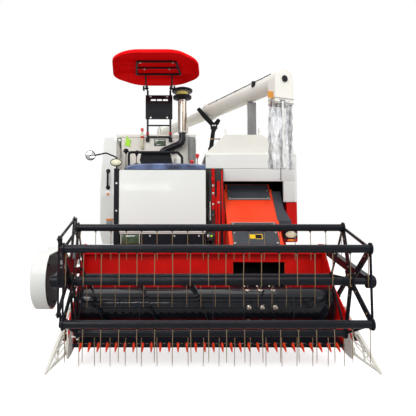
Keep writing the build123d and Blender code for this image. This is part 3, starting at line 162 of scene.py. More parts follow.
def mixed(tree, factor, *colours):
    """Colour between two colours or colour sockets."""
    made = node(tree, "ShaderNodeMix", data_type="RGBA", Factor=factor)
    for value, socket in zip(colours, [socket for socket in made.inputs if socket.type == "RGBA"]):
        connect(tree, value, socket)
    return [socket for socket in made.outputs if socket.type == "RGBA"][0]


def z_part(tree, vector):
    """Z of a vector socket."""
    return node(tree, "ShaderNodeSeparateXYZ", Vector=vector).outputs["Z"]


def relief(tree, height, strength, distance):
    """Bumped normal."""
    return node(tree, "ShaderNodeBump", Height=height, Strength=strength, Distance=distance).outputs["Normal"]


def surface(name):
    """New material with its node tree and its shader."""
    made = bpy.data.materials.new(name)
    made.use_nodes = True
    return made, made.node_tree, made.node_tree.nodes["Principled BSDF"]


def shade(colour, factor):
    """Colour made darker or lighter."""
    return tuple(min(1.0, part * factor) for part in colour)


DUST = (0.42, 0.38, 0.31)


def finish(name, colour, rough=0.4, metal=0.0, coat=0.0, vary=0.08, scale=6.0, bump=0.15, grain=220.0, dust=0.0,
           second=None, stretch=(1, 1, 1), coat_rough=0.08, shine=0.5):
    """Painted, moulded or metal surface: colour drift towards a second colour, which on the navy and red plastic
    finishes is painted reflection, uneven gloss, fine bump and dust on what faces up.
    """
    made, tree, shader = surface(name)
    # The drift mixes towards the second colour; on NAVY and SHELL that colour is painted reflection, elsewhere it is
    # random tone.
    tone_drift_and_sheen = spread(tree, noise(tree, scale, 5.0, stretch), 0, 1, 0.3, 0.7)
    base = mixed(tree, tone_drift_and_sheen, shade(colour, 1 - vary), second or shade(colour, 1 + vary))
    if dust:
        upward = spread(tree, z_part(tree, node(tree, "ShaderNodeNewGeometry").outputs["Normal"]), 0, dust, 0.2, 1.0)
        patchy = calc(tree, "MULTIPLY", upward, spread(tree, noise(tree, 23.0), 0.2, 1.0, 0.35, 0.65))
        base = mixed(tree, patchy, base, DUST)
    gloss = spread(tree, noise(tree, scale * 2.3), rough * 0.88, min(1, rough * 1.12), 0.3, 0.7)
    plug(tree, shader, Base_Color=base, Roughness=gloss, Metallic=metal, Coat_Weight=coat, Coat_Roughness=coat_rough,
         Specular_IOR_Level=shine, Normal=relief(tree, noise(tree, grain, 3.0, stretch), bump, 0.0006))
    return made


WHITE = finish("white_paint", (0.78, 0.79, 0.76), 0.34, coat=0.15, vary=0.02, scale=2.0, bump=0.03, dust=0.10,
               shine=0.3)
CREAM = finish("cream_paint", (0.80, 0.785, 0.72), 0.38, coat=0.12, vary=0.035, scale=3.0, bump=0.05, dust=0.12,
               shine=0.3)
RED = finish("red_paint", (0.60, 0.006, 0.004), 0.34, coat=0.05, vary=0.14, scale=4.0, bump=0.04, shine=0.12)
ORANGE = finish("orange_red_paint", (0.90, 0.060, 0.016), 0.38, coat=0.05, vary=0.05, scale=3.0, bump=0.04, shine=0.12)
TIP = finish("guard_paint", (0.88, 0.055, 0.012), 0.42, vary=0.15, scale=30.0, bump=0.15, shine=0.15)
BLACK = finish("black_paint", (0.009, 0.010, 0.014), 0.22, coat=0.16, vary=0.15, scale=5.0, bump=0.012, shine=0.10,
               coat_rough=0.12)
GLOSS_BLACK = finish("gloss_black_paint", (0.008, 0.009, 0.013), 0.14, coat=0.35, vary=0.2, scale=4.0, bump=0.01,
                     coat_rough=0.05, shine=0.2)
SATIN = finish("satin_black", (0.010, 0.011, 0.013), 0.34, vary=0.2, scale=12.0, bump=0.08, dust=0.02, shine=0.10)
SLATE = finish("slate_paint", (0.048, 0.055, 0.066), 0.36, coat=0.02, vary=0.1, bump=0.05, dust=0.04, shine=0.15)
# Navy cowl paint; its second colour, lighter blue in patches stretched along y, is painted reflection.
NAVY = finish("navy_gloss_painted_reflection", (0.014, 0.022, 0.060), 0.15, coat=0.9, vary=0.15, scale=5.0, bump=0.02, coat_rough=0.03,
              second=(0.13, 0.20, 0.42), stretch=(1, 2, 1))
PLASTIC = finish("black_plastic", (0.012, 0.013, 0.016), 0.45, vary=0.15, scale=14.0, bump=0.3, grain=600.0, shine=0.15)
# Red canopy plastic; its second colour, lighter red in streaks stretched along y, is painted highlight on the moulded
# ridges.
SHELL = finish("red_plastic", (0.86, 0.001, 0.002), 0.25, vary=0.10, scale=2.5, bump=0.02, shine=0.0,
               second=(0.92, 0.012, 0.014), stretch=(0.6, 3, 1))
RUBBER = finish("rubber", (0.026, 0.025, 0.024), 0.72, vary=0.3, scale=10.0, bump=0.7, grain=140.0, dust=0.35)
STEEL = finish("steel", (0.60, 0.59, 0.57), 0.30, metal=1.0, vary=0.1, scale=20.0, bump=0.25, stretch=(1, 1, 0.1))
BRIGHT = finish("bright_steel", (0.62, 0.60, 0.57), 0.16, metal=1.0, vary=0.10, scale=9.0, bump=0.05,
                second=(0.48, 0.37, 0.27), stretch=(3, 3, 0.25))
ZINC = finish("yellow_zinc", (0.34, 0.27, 0.10), 0.36, metal=0.35, vary=0.25, scale=35.0, bump=0.08,
              second=(0.30, 0.17, 0.13), shine=0.3)
VINYL = finish("vinyl", (0.022, 0.022, 0.025), 0.48, vary=0.15, scale=9.0, bump=0.9, grain=420.0)
KNOB = finish("red_knob", (0.75, 0.012, 0.010), 0.25, coat=0.5, vary=0.05, bump=0.03)
GREY = finish("grey_paint", (0.25, 0.26, 0.26), 0.45, vary=0.12, scale=9.0, bump=0.15, dust=0.2)
YELLOW = finish("yellow_label", (0.86, 0.52, 0.015), 0.4, vary=0.06, bump=0.05, shine=0.2)
CORE = finish("yellow_core", (1.0, 0.72, 0.10), 0.4, vary=0.06, bump=0.05, shine=0.1)
AMBER = finish("amber", (0.85, 0.24, 0.02), 0.3, coat=0.2, vary=0.10, bump=0.05, shine=0.2)
OCHRE = finish("ochre_plate", (0.62, 0.26, 0.03), 0.4, vary=0.3, scale=40.0, bump=0.05, shine=0.2)
MIRROR = finish("mirror_glass", (0.86, 0.87, 0.88), 0.06, metal=0.9, vary=0.03, scale=5.0, bump=0.02)
LIME = finish("lime_tag", (0.42, 0.85, 0.03), 0.5, vary=0.1, scale=20.0, bump=0.2)
GREEN = finish("green_glass", (0.045, 0.075, 0.035), 0.10, coat=0.8, vary=0.35, scale=11.0, bump=0.03)
SHADE = finish("shaded_white_paint", (0.68, 0.68, 0.66), 0.36, coat=0.12, vary=0.02, scale=2.5, bump=0.04)
MID_GREY = finish("mid_grey_paint", (0.21, 0.21, 0.21), 0.42, vary=0.08, scale=7.0, bump=0.12)
WEB = finish("white_webbing", (0.74, 0.74, 0.71), 0.6, vary=0.06, scale=30.0, bump=0.8, grain=900.0)


LENS = finish("lens", (0.72, 0.70, 0.50), 0.2, coat=0.6, vary=0.2, scale=60.0, bump=0.5, grain=90.0)
BOWL = finish("clear_bowl", (0.80, 0.82, 0.80), 0.08, coat=0.5, scale=30.0, bump=0.05)
BOWL.node_tree.nodes["Principled BSDF"].inputs["Alpha"].default_value = 0.12


def clear_plastic():
    """Soft clear sheet with creases, and streaks of painted reflection, dark and bright, in its colour."""
    made, tree, shader = surface("clear_sleeve")
    # Painted reflection: this mask mixes the sheet's colour between a dark and a bright tone.
    painted_sheen_streak = spread(tree, noise(tree, 9.0, 6.0, (1.6, 1.6, 0.28)), 0, 1, 0.47, 0.56)
    crease = noise(tree, 26.0, 5.0, (1, 1, 0.5))
    plug(tree, shader, Base_Color=mixed(tree, painted_sheen_streak, (0.045, 0.05, 0.075), (0.86, 0.87, 0.89)),
         Alpha=spread(tree, crease, 0.12, 0.72, 0.35, 0.65), Roughness=0.12, Coat_Weight=1.0,
         Normal=relief(tree, crease, 0.6, 0.004))
    return made


SLEEVE = clear_plastic()

NODE_FINISH = (
    (RUBBER, "track_left track_right"),
    (SATIN, "undercarriage_left undercarriage_right operator_platform canopy_frame tube_rests"),
    (RED, "chassis_frame lower_side_panel header_trough side_plates"),
    (GREY, "engine exhaust_duct"),
    (WHITE, "thresher_body front_cover side_door straw_hood belt_guard front_panel side_cover radiator_door"),
    (CREAM, "top_cover dividers grain_tank tank_lid auger_column auger_turret unload_tube"),
    (ORANGE, "feeder_house"),
    (SLATE, "feeder_guard"),
    (BLACK, "guard_bar reel_arms reel_spider eccentric_ring reel_cylinder_barrels lift_cylinder_barrel "
            "lower_panel unload_cylinder_barrel"),
    (STEEL, "knife"),
    (GLOSS_BLACK, "header_auger intake_hose canopy_posts"),
    (BRIGHT, "reel_cylinder_rods lift_cylinder_rod intake_pipe unload_cylinder_rod"),
    (NAVY, "dash_cowl"),
    (PLASTIC, "console control_levers mirror lamps pre_cleaner"),
    (VINYL, "seat"),
    (SHELL, "canopy_shell"),
    (SLEEVE, "spout_sleeve"),
)
PLAIN_EDGES = ("track_left", "track_right", "knife", "spout_sleeve", "header_auger")
WELD_GAP = 0.00002                 # metres
EDGE_WIDTH = 0.0016                # metres
EDGE_ANGLE = 40                    # degrees from which an edge is softened


def dress_nodes():
    """Gives every CAD node its finish and softens its sharp edges."""
    finishes = {name: material for material, names in NODE_FINISH for name in names.split()}
    finishes.update((f"tine_bar_{k}", BLACK) for k in BARS)
    for name, material in finishes.items():
        piece = NODES[name]
        piece.data.materials.clear()
        piece.data.materials.append(material)
        if name in PLAIN_EDGES:
            continue
        weld = piece.modifiers.new("weld", "WELD")
        weld.merge_threshold = WELD_GAP
        bevel = piece.modifiers.new("soft_edges", "BEVEL")
        bevel.width = EDGE_WIDTH
        bevel.segments = 2
        bevel.limit_method = "ANGLE"
        bevel.angle_limit = radians(EDGE_ANGLE)
        smooth = piece.modifiers.new("even_faces", "WEIGHTED_NORMAL")
        smooth.keep_sharp = True


# ---------------------------------------------------------------- mesh tools, in the part's own millimetres
def room(name):
    """Lowest and highest corner of a CAD node."""
    return tuple((corner - ORIGIN) / MM for corner in BOX[name])


def rounded(points, bend, steps=6):
    """Line of points with its corners turned into arcs."""
    points = [Vector(point) for point in points]
    path = [points[0]]
    for a, b, c in zip(points, points[1:], points[2:]):
        reach = min(bend, (a - b).length / 2, (c - b).length / 2)
        start, end = b + (a - b).normalized() * reach, b + (c - b).normalized() * reach
        path += [start.lerp(b, k / steps).lerp(b.lerp(end, k / steps), k / steps) for k in range(steps + 1)]
    path.append(points[-1])
    return path


def mirrored(points):
    """The same points on the other side of the mid plane."""
    return [(-point[0], point[1], point[2]) for point in points]


def turns(count, start=0.0):
    """Equal angles of one full turn; start is in steps."""
    return [2 * pi * (k + start) / count for k in range(count)]


def ellipse(centre, wide, tall, y, count=36):
    """Upright oval line at one y."""
    return [(centre[0] + wide * cos(a), y, centre[1] + tall * sin(a)) for a in turns(count)]


class Shape:
    """Mesh of one piece, put together from small parts."""

    def __init__(self):
        self.mesh = bmesh.new()

    def skin(self, rings, ends=True, loop=False):
        """Faces between rings of points."""
        rows = [[self.mesh.verts.new(point) for point in ring] for ring in rings]
        count = len(rows[0])
        for a, b in zip(rows, rows[1:] + (rows[:1] if loop else [])):
            for i in range(count):
                j = (i + 1) % count
                self.mesh.faces.new((a[i], a[j], b[j], b[i]))
        if ends and not loop:
            self.mesh.faces.new(rows[0][::-1])
            self.mesh.faces.new(rows[-1])
        return self

    def tube(self, points, radius, sides=10, loop=False):
        """Round bar along a line of points, with one radius or one for each point."""
        points = [Vector(point) for point in points]
        radii = radius if isinstance(radius, (list, tuple)) else [radius] * len(points)
        normal, rings = None, []
        last = len(points) - 1
        for i, point in enumerate(points):
            before = points[i - 1] if loop else points[max(i - 1, 0)]
            after = points[(i + 1) % len(points)] if loop else points[min(i + 1, last)]
            way = (after - before).normalized()
            normal = way.orthogonal() if normal is None else normal - way * normal.dot(way)
            normal.normalize()
            other = way.cross(normal)
            rings.append([point + (normal * cos(a) + other * sin(a)) * radii[i] for a in turns(sides)])
        return self.skin(rings, loop=loop)

    def lathe(self, foot, way, profile, sides=28, flat=1.0):
        """Turned shape about a line: pairs of distance along it and radius."""
        foot, way = Vector(foot), Vector(way).normalized()
        first = way.orthogonal().normalized() if abs(way.z) > 0.9 else way.cross(UP).normalized()
        second = way.cross(first)
        rings = []
        for reach, radius in profile:
            centre = foot + way * reach
            size = max(radius, 0.05)
            rings.append([centre + (first * cos(a) + second * sin(a) * flat) * size for a in turns(sides)])
        return self.skin(rings)

    def block(self, low, high, soft=2.0):
        """Box between two corners with rounded edges."""
        low, high = Vector(low), Vector(high)
        made = bmesh.ops.create_cube(self.mesh, size=1.0)
        size = high - low
        for vert in made["verts"]:
            vert.co = Vector([(low[i] + high[i]) / 2 + vert.co[i] * size[i] for i in range(3)])
        edges = list(dict.fromkeys(edge for vert in made["verts"] for edge in vert.link_edges))
        soft = min(soft, 0.45 * min(size))
        bmesh.ops.bevel(self.mesh, geom=edges, offset=soft, segments=2, affect="EDGES", profile=0.6)
        return self

    def bar(self, start, end, width, thick, side=LEFT):
        """Rectangular bar between two points, its width measured along side."""
        start, end = Vector(start), Vector(end)
        way = (end - start).normalized()
        side = (Vector(side) - way * way.dot(Vector(side))).normalized() * width / 2
        up = way.cross(side).normalized() * thick / 2
        return self.skin([[point + side + up, point - side + up, point - side - up, point + side - up]
                          for point in (start, end)])

    def plate(self, outline, reach):
        """Flat plate: an outline and the way and distance it is thick."""
        outline, reach = [Vector(point) for point in outline], Vector(reach)
        return self.skin([outline, [point + reach for point in outline]])

    def bolt(self, foot, way, size=9):
        """Hexagon head on its washer."""
        self.lathe(foot, way, ((-1, size * 1.5), (1.4, size * 1.5), (1.8, size * 1.35)), 16)
        return self.lathe(foot, way, ((1, size), (size * 0.8, size), (size * 0.95, size * 0.8)), 6)

    def done(self, name, body, material, slot, replaces=(), crease=32):
        """Turns the mesh into a piece that rides on a body."""
        bmesh.ops.recalc_face_normals(self.mesh, faces=self.mesh.faces)
        self.mesh.transform(Matrix.Translation(ORIGIN) @ Matrix.Scale(MM, 4))
        data = bpy.data.meshes.new(name)
        self.mesh.to_mesh(data)
        self.mesh.free()
        data.materials.append(material)
        for face in data.polygons:
            face.use_smooth = True
        data.set_sharp_from_angle(angle=radians(crease))
        piece = shown(name, data)
        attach(piece, body)
        if replaces:
            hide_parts(*replaces)
        return piece


def shapes(count):
    """Several new shapes."""
    return [Shape() for _ in range(count)]


def hand_over(body, *rows):
    """Turns shapes into pieces of one body: shape, name, material, slot and, where it has one, the replaced node."""
    for shape, name, material, slot, *replaced in rows:
        shape.done(name, body, material, slot, replaced)


# ---------------------------------------------------------------- reel and header
def tine_bars():
    """Five reel bars with their cranks, clamps and sprung wire tines."""
    crank_x = -BAR_HALF - 8
    for k in BARS:
        _, y, z = pivot(f"tine_bar_{k}_turn")
        bar, wires = shapes(2)
        length = 2 * BAR_HALF
        bar.lathe((-BAR_HALF, y, z), LEFT,
                  ((0, 24), (1, 27), (3, BAR_R), (length - 3, BAR_R), (length - 1, 27), (length, 24)), 32)
        bar.lathe((crank_x, y, z), LEFT, ((0, 26), (8, 26)), 24)
        bar.lathe((crank_x, y, z + CRANK), LEFT, ((-20, 8), (-19, 9), (0, 9), (0, 16), (8, 16)), 20)
        bar.block((crank_x, y - 15, z), (crank_x + 8, y + 15, z + CRANK), 1.5)
        for j in range(TINES):
            x = -TINE_HALF + 2 * TINE_HALF * j / (TINES - 1)
            bar.block((x - 8, y - 10, z - BAR_R - 4), (x + 6, y + 10, z - BAR_R + 5), 2)
            lean, sway = random.uniform(-2.5, 2.5), random.uniform(-3, 3)
            coil = [(x - 2 + 4 * a / 16, y + 5 * sin(a * 0.98), z - BAR_R - 8 + 5 * cos(a * 0.98))
                    for a in range(17)]
            drop = [(x, y - 3, z - 62), (x + sway * 0.3, y - 2, z - 120), (x + sway, y + 4 + lean * 0.6, z - 225),
                    (x + sway * 1.2, y + 7 + lean, z - TINE_DROP)]
            line = coil + drop
            wires.tube(line, [2.9] * (len(line) - 1) + [2.0], 7)
        bar.done(f"reel_bar_{k}", f"tine_bar_{k}", BLACK, "tine", (f"tine_bar_{k}",))
        wires.done(f"tines_{k}", f"tine_bar_{k}", ZINC, "tine", crease=50)


def reel_hardware():
    """Clamp rings, bolts and bearings on the end stars, the eccentric and the reel arms."""
    clamps, bolts, nuts = shapes(3)
    _, cy, cz = pivot("reel_spin")
    for side in (-1, 1):
        inner, outer = side * REEL_X[0], side * REEL_X[1]
        clamps.lathe((inner, cy, cz), (-side, 0, 0), ((-1, 62), (6, 62), (8, 58), (8, 40), (60, 36), (62, 30)), 32)
        for k in BARS:
            _, y, z = pivot(f"tine_bar_{k}_turn")
            clamps.lathe((inner, y, z), (-side, 0, 0), ((-1, 40), (3, 40), (4, 38), (5, BAR_R)), 28)
            out = Vector((0, y - cy, z - cz)).normalized()
            foot = Vector((0, cy, cz)) + out * 52
            bolts.bolt((inner - side * 8, foot.y, foot.z), (-side, 0, 0), 7)
            for reach in (120, 350):
                foot = Vector((0, cy, cz)) + out * reach
                bolts.bolt((inner, foot.y, foot.z), (-side, 0, 0), 6)
                bolts.bolt((outer, foot.y, foot.z), (side, 0, 0), 6)
    hand_over("reel", (clamps, "reel_clamps", BLACK, "black"), (bolts, "reel_bolts", ZINC, "steel"))
    for k in BARS:
        _, y, z = pivot(f"tine_bar_{k}_turn")
        nuts.bolt((RING_FACE, y, z + CRANK), RIGHT, 11)
    nuts.done("eccentric_nuts", "eccentric", ZINC, "steel")

    bearings, pins = shapes(2)
    _, ay, az = pivot("reel_lift")
    for side in (-1, 1):
        outer = side * ARM_FACE
        bearings.lathe((outer, cy, cz), (side, 0, 0), ((-1, 46), (10, 44), (13, 40), (13, 27)), 28)
        bearings.lathe((outer, ay, az), (side, 0, 0), ((0, 38), (5, 36)), 28)
        for angle in turns(4, 0.5):
            pins.bolt((outer + side * 10, cy + 35 * cos(angle), cz + 35 * sin(angle)), (side, 0, 0), 5)
        pins.bolt((outer + side * 4, ay, az), (side, 0, 0), 13)
        for share in (0.25, 0.55, 0.8):
            pins.bolt((outer, ay + (cy - ay) * share, az + (cz - az) * share), (side, 0, 0), 7)
    hand_over("reel_frame", (bearings, "reel_bearings", SATIN, "black"), (pins, "reel_arm_bolts", ZINC, "steel"))


def guard_tips():
    """Painted points of the cutter guards, with the dark lips over the knife."""
    tips, lips = shapes(2)
    for k in range(GUARDS):
        x = (k - (GUARDS - 1) / 2) * GUARD_PITCH
        rings = []
        for y, z, wide, tall in ((-914, 184, 12, 21), (-932, 176, 12, 21), (-958, 162, 10, 17), (-980, 150, 7, 12),
                                 (-994, 141, 3, 5)):
            rings.append([(x + wide * cos(a), y, z + tall * sin(a)) for a in turns(8, 0.5)])
        tips.skin(rings)
        lips.skin([[(x - w, y, low), (x + w, y, low), (x + w * 0.7, y, high), (x - w * 0.7, y, high)]
                   for y, w, low, high in ((-921, 11, 186, 190.5), (-905, 12, 186.5, 194), (-878, 13, 187, 196))])
        lips.block((x - 21, -871, 187), (x + 21, -838, 196), 2)
        lips.bolt((x + GUARD_PITCH / 2, -845, 180), UP, 6)
    sheet = [(-1186, -640, 224), (-1186, -836, 184.5), (1186, -836, 184.5), (1186, -640, 224)]
    lips.plate(sheet, (0, 0, 4))
    for x in range(-1150, 1151, 115):
        lips.bolt((x, -800, 194), (0, -0.2, 1), 7)
    hand_over("feeder", (tips, "guard_tips", TIP, "orange_red"), (lips, "guard_lips", BLACK, "black"))


def dividers():
    """Thin tube frames of the crop dividers with their plates, braces and fittings."""
    tubes, dark, red, bright = shapes(4)
    lines = (
        [(1216, -985, 345), (1240, -1060, 290), (1296, -1296, 66)],
        [(1214, -1000, 240), (1262, -1100, 190), (1298, -1298, 62)],
        [(1214, -1005, 150), (1230, -1080, 118), (1297, -1297, 54)],
        [(1262, -1020, 300), (1278, -1130, 220), (1302, -1296, 64)],
        [(1206, -1000, 330), (1180, -1080, 250), (1292, -1292, 56)],
    )
    braces = (
        [(1226, -1150, 205), (1272, -1158, 190), (1262, -1150, 128)],
        [(1214, -1040, 300), (1262, -1040, 296), (1262, -1020, 300)],
        [(1248, -1200, 160), (1290, -1210, 120)],
    )
    for line, radius in [(line, 5.5) for line in lines] + [(line, 4) for line in braces]:
        tubes.tube(rounded(line, 60, 5), radius, 8)
        tubes.tube(rounded(mirrored(line), 60, 5), radius, 8)
    for side in (-1, 1):
        tubes.lathe((side * 1300, -1314, 52), (side * 0.1, 1, 0.5), ((0, 3), (8, 9), (26, 11), (70, 8)), 16)
        low, high = sorted((side * 1199, side * ARM_FACE))
        red.block((low - 5, -1018, 238), (high + 5, -1010, 300), 2)
        dark.block((low, -1021, 244), (high, -1017, 294), 1.5)
        red.bar((side * 1196, -1014, 262), (side * 1176, -985, 400), 14, 6)
        dark.block((low, -1004, 306), (high, -998, 326), 1.5)
        for y, z in ((-1010, 138), (-1010, 162), (-985, 318), (-985, 342), (-880, 458), (-880, 482)):
            bright.bolt((side * 1214, y, z), FRONT, 5)
    tubes.block((-1172, -1000, 262), (-1116, -986, 276), 4)
    tubes.block((-1130, -1000, 240), (-1112, -984, 300), 5)
    hand_over("feeder", (tubes, "divider_tubes", CREAM, "cream"), (dark, "divider_plates", BLACK, "black"),
              (red, "divider_frames", RED, "red"), (bright, "divider_bolts", STEEL, "steel"))


def auger_guides():
    """Bright fingers and their wear guides on the auger drum."""
    _, cy, cz = pivot("header_auger_spin")
    guides = Shape()
    for x in (391, 513, 632):
        for degrees in (60, 120, 182, 240, 300, 0):
            angle = radians(degrees)
            way = Vector((0, cos(angle), sin(angle)))
            foot = Vector((x, cy, cz)) + way * 160
            guides.lathe(foot, way, ((0, 24), (9, 22), (12, 15), (14, 9), (68, 8), (72, 5)), 20)
    guides.done("auger_fingers", "header_auger", BRIGHT, "steel")
    seams = Shape()
    for x in (-1178, -620, 60, 345, 805, 1178):
        ring = [(x, cy + DRUM_LINE * cos(a), cz + DRUM_LINE * sin(a)) for a in turns(48)]
        seams.tube(ring, 3, 6, loop=True)
    seams.done("auger_seams", "header_auger", SLATE, "black")


def on_roof(x, share, lift):
    """Point over the feeder's sloped roof."""
    return ROOF_LOW.lerp(ROOF_HIGH, share) + Vector((x, 0, 0)) + ROOF_UP * lift


def roof_patch(left, right, low, high, lift):
    """Four-sided outline over the feeder's roof."""
    return [on_roof(x, share, lift) for x, share in ((left, low), (right, low), (right, high), (left, high))]


def feeder_trim():
    """Lips, bolts and the blank two-colour plate on the feeder house, and the bolts of its guard."""
    lips, bolts, yellow, dark = shapes(4)
    for low, high in ((0.79, 0.812), (0.358, 0.37)):
        lips.plate(roof_patch(326, 809, low, high, 10), ROOF_UP * 4)
    for share in (0.03, 0.2, 0.34, 0.83, 0.96):
        for x in (345, 790):
            bolts.bolt(on_roof(x, share, 10), ROOF_UP, 7)
    for low, high, piece in ((506, 568, yellow), (566, 634, dark)):
        piece.plate(roof_patch(low, high, 0.10, 0.165, 10), ROOF_UP * 1.5)
    yellow.plate(roof_patch(566, 642, 0.092, 0.173, 9.5), ROOF_UP * 1.3)
    for y, z in ((80, 1258), (200, 1420), (320, 1560), (400, 1540)):
        bolts.bolt((938, y, z), LEFT, 4)
    roof, top = shapes(2)
    roof.plate(roof_patch(309, 826, 0.975, 1.10, 0.5), ROOF_UP * 3)
    top.plate(roof_patch(331, 804, 0.80, 1.085, 4), ROOF_UP * 7.5)
    top.plate([(838, 62, 1206), (838, 58, 1296), (838, 340, 1650), (838, 424, 1650), (838, 424, 1470)], (100, 0, 0))
    top.skin([[(842, 60, 1206), (991, 60, 1206), (991, 58, 1296), (842, 58, 1296)],
              [(838, 168, 1314), (940, 168, 1314), (940, 168, 1432), (838, 168, 1432)]])
    hand_over("feeder", (roof, "feeder_roof_top", ORANGE, "orange_red"), (top, "feeder_top_plate", SLATE, "dark_grey"),
              (lips, "feeder_lips", GREY, "grey"), (bolts, "feeder_bolts", STEEL, "steel"),
              (yellow, "feeder_plate_yellow", YELLOW, "orange_red"), (dark, "feeder_plate_dark", SATIN, "black"))


def header_trim():
    """Bolts, belts and stiffeners of the header's sheets and the belt guard."""
    bolts, belts, ribs = shapes(3)
    for x in range(-1140, 1141, 190):
        bolts.bolt((x, -333, 975), FRONT, 6)
    for side in (-1, 1):
        for y, z in ((-960, 180), (-900, 330), (-760, 470), (-600, 620), (-480, 770), (-330, 640), (-330, 380)):
            bolts.bolt((side * 1202, y, z), (side, 0, 0), 7)
    front, rear = Vector((-1522, -560, 640)), Vector((-1522, -200, 920))
    run = (rear - front).normalized()
    side = Vector((0, -run.z, run.y))
    for shift in (-9, 9):
        loop = []
        for centre, radius, sign in ((front, 152, 1), (rear, 50, -1)):
            for k in range(15):
                angle = pi * k / 14
                loop.append(centre + Vector((shift, 0, 0)) + side * sign * radius * cos(angle)
                            - run * sign * radius * sin(angle))
        belts.tube(loop, 5, 6, loop=True)
    for x in (-1000, -600, -200, 200, 1000):
        ribs.bar((x, -270, 560), (x, -270, 930), 30, 10)
    hand_over("feeder", (bolts, "header_bolts", STEEL, "steel"), (belts, "header_belts", RUBBER, "rubber"),
              (ribs, "header_ribs", RED, "red"))


def teardrop(front_r, rear_r, steps=24):
    """Outline round two circles: y and z of the belt guard's cover."""
    front, rear = (-560, 713), (-205, 922)
    heading = atan2(rear[1] - front[1], rear[0] - front[0])
    points = []
    for (y, z), radius, first in ((front, front_r, heading + pi / 2), (rear, rear_r, heading - pi / 2)):
        angles = [first + pi * k / steps for k in range(steps + 1)]
        points += [(y + radius * cos(a), z + radius * sin(a)) for a in angles]
    return points


def belt_cover():
    """Rounded cover over the belt guard with a dark sheet of painted shade for its inner face, and the webs on the end
    sheets' noses.
    """
    shell, dark, webs = shapes(3)
    rings = []
    for x, inset in ((-1451, 5), (-1445, 4), (-1444, 0), (-1568, 0), (-1580, 3), (-1586, 10), (-1589.6, 24)):
        rings.append([(x, y, z) for y, z in teardrop(278 - inset, 86 - inset)])
    shell.skin(rings)
    # Painted shade: a dark sheet closing the hollow of the cover, which lies in shade; the cover's bolts stand on it.
    dark.skin([[(x, y, z) for y, z in teardrop(262, 72)] for x in (-1452, -1442)])
    for y, z in ((-760, 560), (-740, 860), (-420, 960), (-330, 760), (-520, 500)):
        dark.bolt((-1442, y, z), LEFT, 9)
    nose = [(-856, 109), (-1012, 88), (-1042, 160), (-1002, 300), (-860, 330)]
    for side in (-1, 1):
        webs.plate([(side * 1188.5, y, z) for y, z in nose], (side * 15, 0, 0))
    hand_over("feeder", (shell, "belt_cover", WHITE, "white"), (dark, "belt_cover_shade_and_bolts", SATIN, "black"),
              (webs, "end_sheet_webs", CREAM, "cream"))


# ---------------------------------------------------------------- operator station
def cowl():
    """Arched glossy cowl between the front panel and the console."""
    profile = ((-815, 40), (-811, 50), (-800, 57), (-735, 67), (-660, 74), (-560, 77), (-430, 78), (-330, 77.5),
               (-180, 74), (-93, 70), (-30, 66), (38, 61), (46, 56), (50, 46))
    shape = Shape()
    rings = []
    for x, height in profile:
        soft = min(24, height * 0.6)
        top = COWL_BASE + height
        angles = [pi / 2 * t / 5 for t in range(5, -1, -1)]
        nose = [(-8 + soft * (1 - sin(a)), top - soft * (1 - cos(a))) for a in angles]
        section = [(280, COWL_BASE), (-8, COWL_BASE)] + nose + [(120, top + 0.5), (268, top), (280, top - 12)]
        rings.append([(x, y, z) for y, z in section])
    shape.skin(rings)
    shape.done("dash_cowl_skin", "root", NAVY, "navy", ("dash_cowl",), crease=50)
    trim = Shape()
    trim.tube([(x, -9, COWL_BASE + 2) for x in range(-812, 49, 43)], 4, 8)
    trim.done("cowl_seal", "root", PLASTIC, "black_plastic")


def console_trim():
    """Ribs, rail clamps, gauges and switches of the instrument console, and the wash bottle beside it."""
    ribs, dials, marks = shapes(3)
    for k in range(8):
        z = 1944 + 15 * k
        half = 152 + 12 * min(1, k / 3)
        ribs.block((-498 - half, 56, z), (-498 + half, 63, z + 8), 2.5)
    for x in (-700, -300):
        ribs.lathe((x, 30, 2048), LEFT, ((-14, 19), (-12, 21), (12, 21), (14, 19)), 20)
    ribs.block((-640, 236, 1950), (-350, 250, 2058), 8)
    for x, size in ((-585, 36), (-505, 30), (-430, 30)):
        dials.lathe((x, 248, 2006), REAR, ((0, size), (7, size), (8, size - 4), (4, size - 6)), 32)
    for k in range(5):
        marks.block((-395 + 9 * (k % 2), 249, 1962 + 18 * k), (-372 + 9 * (k % 2), 256, 1974 + 18 * k), 2)
    hand_over("root", (ribs, "console_ribs", PLASTIC, "black_plastic"), (dials, "console_dials", BRIGHT, "chrome"),
              (marks, "console_switches", KNOB, "red_plastic"))
    bottle = Shape()
    bottle.lathe((-250, 170, 1916), UP,
                 ((0, 40), (6, 44), (70, 44), (92, 36), (104, 18), (122, 18), (124, 12)), 24)
    bottle.done("wash_bottle", "root", CREAM, "cream")


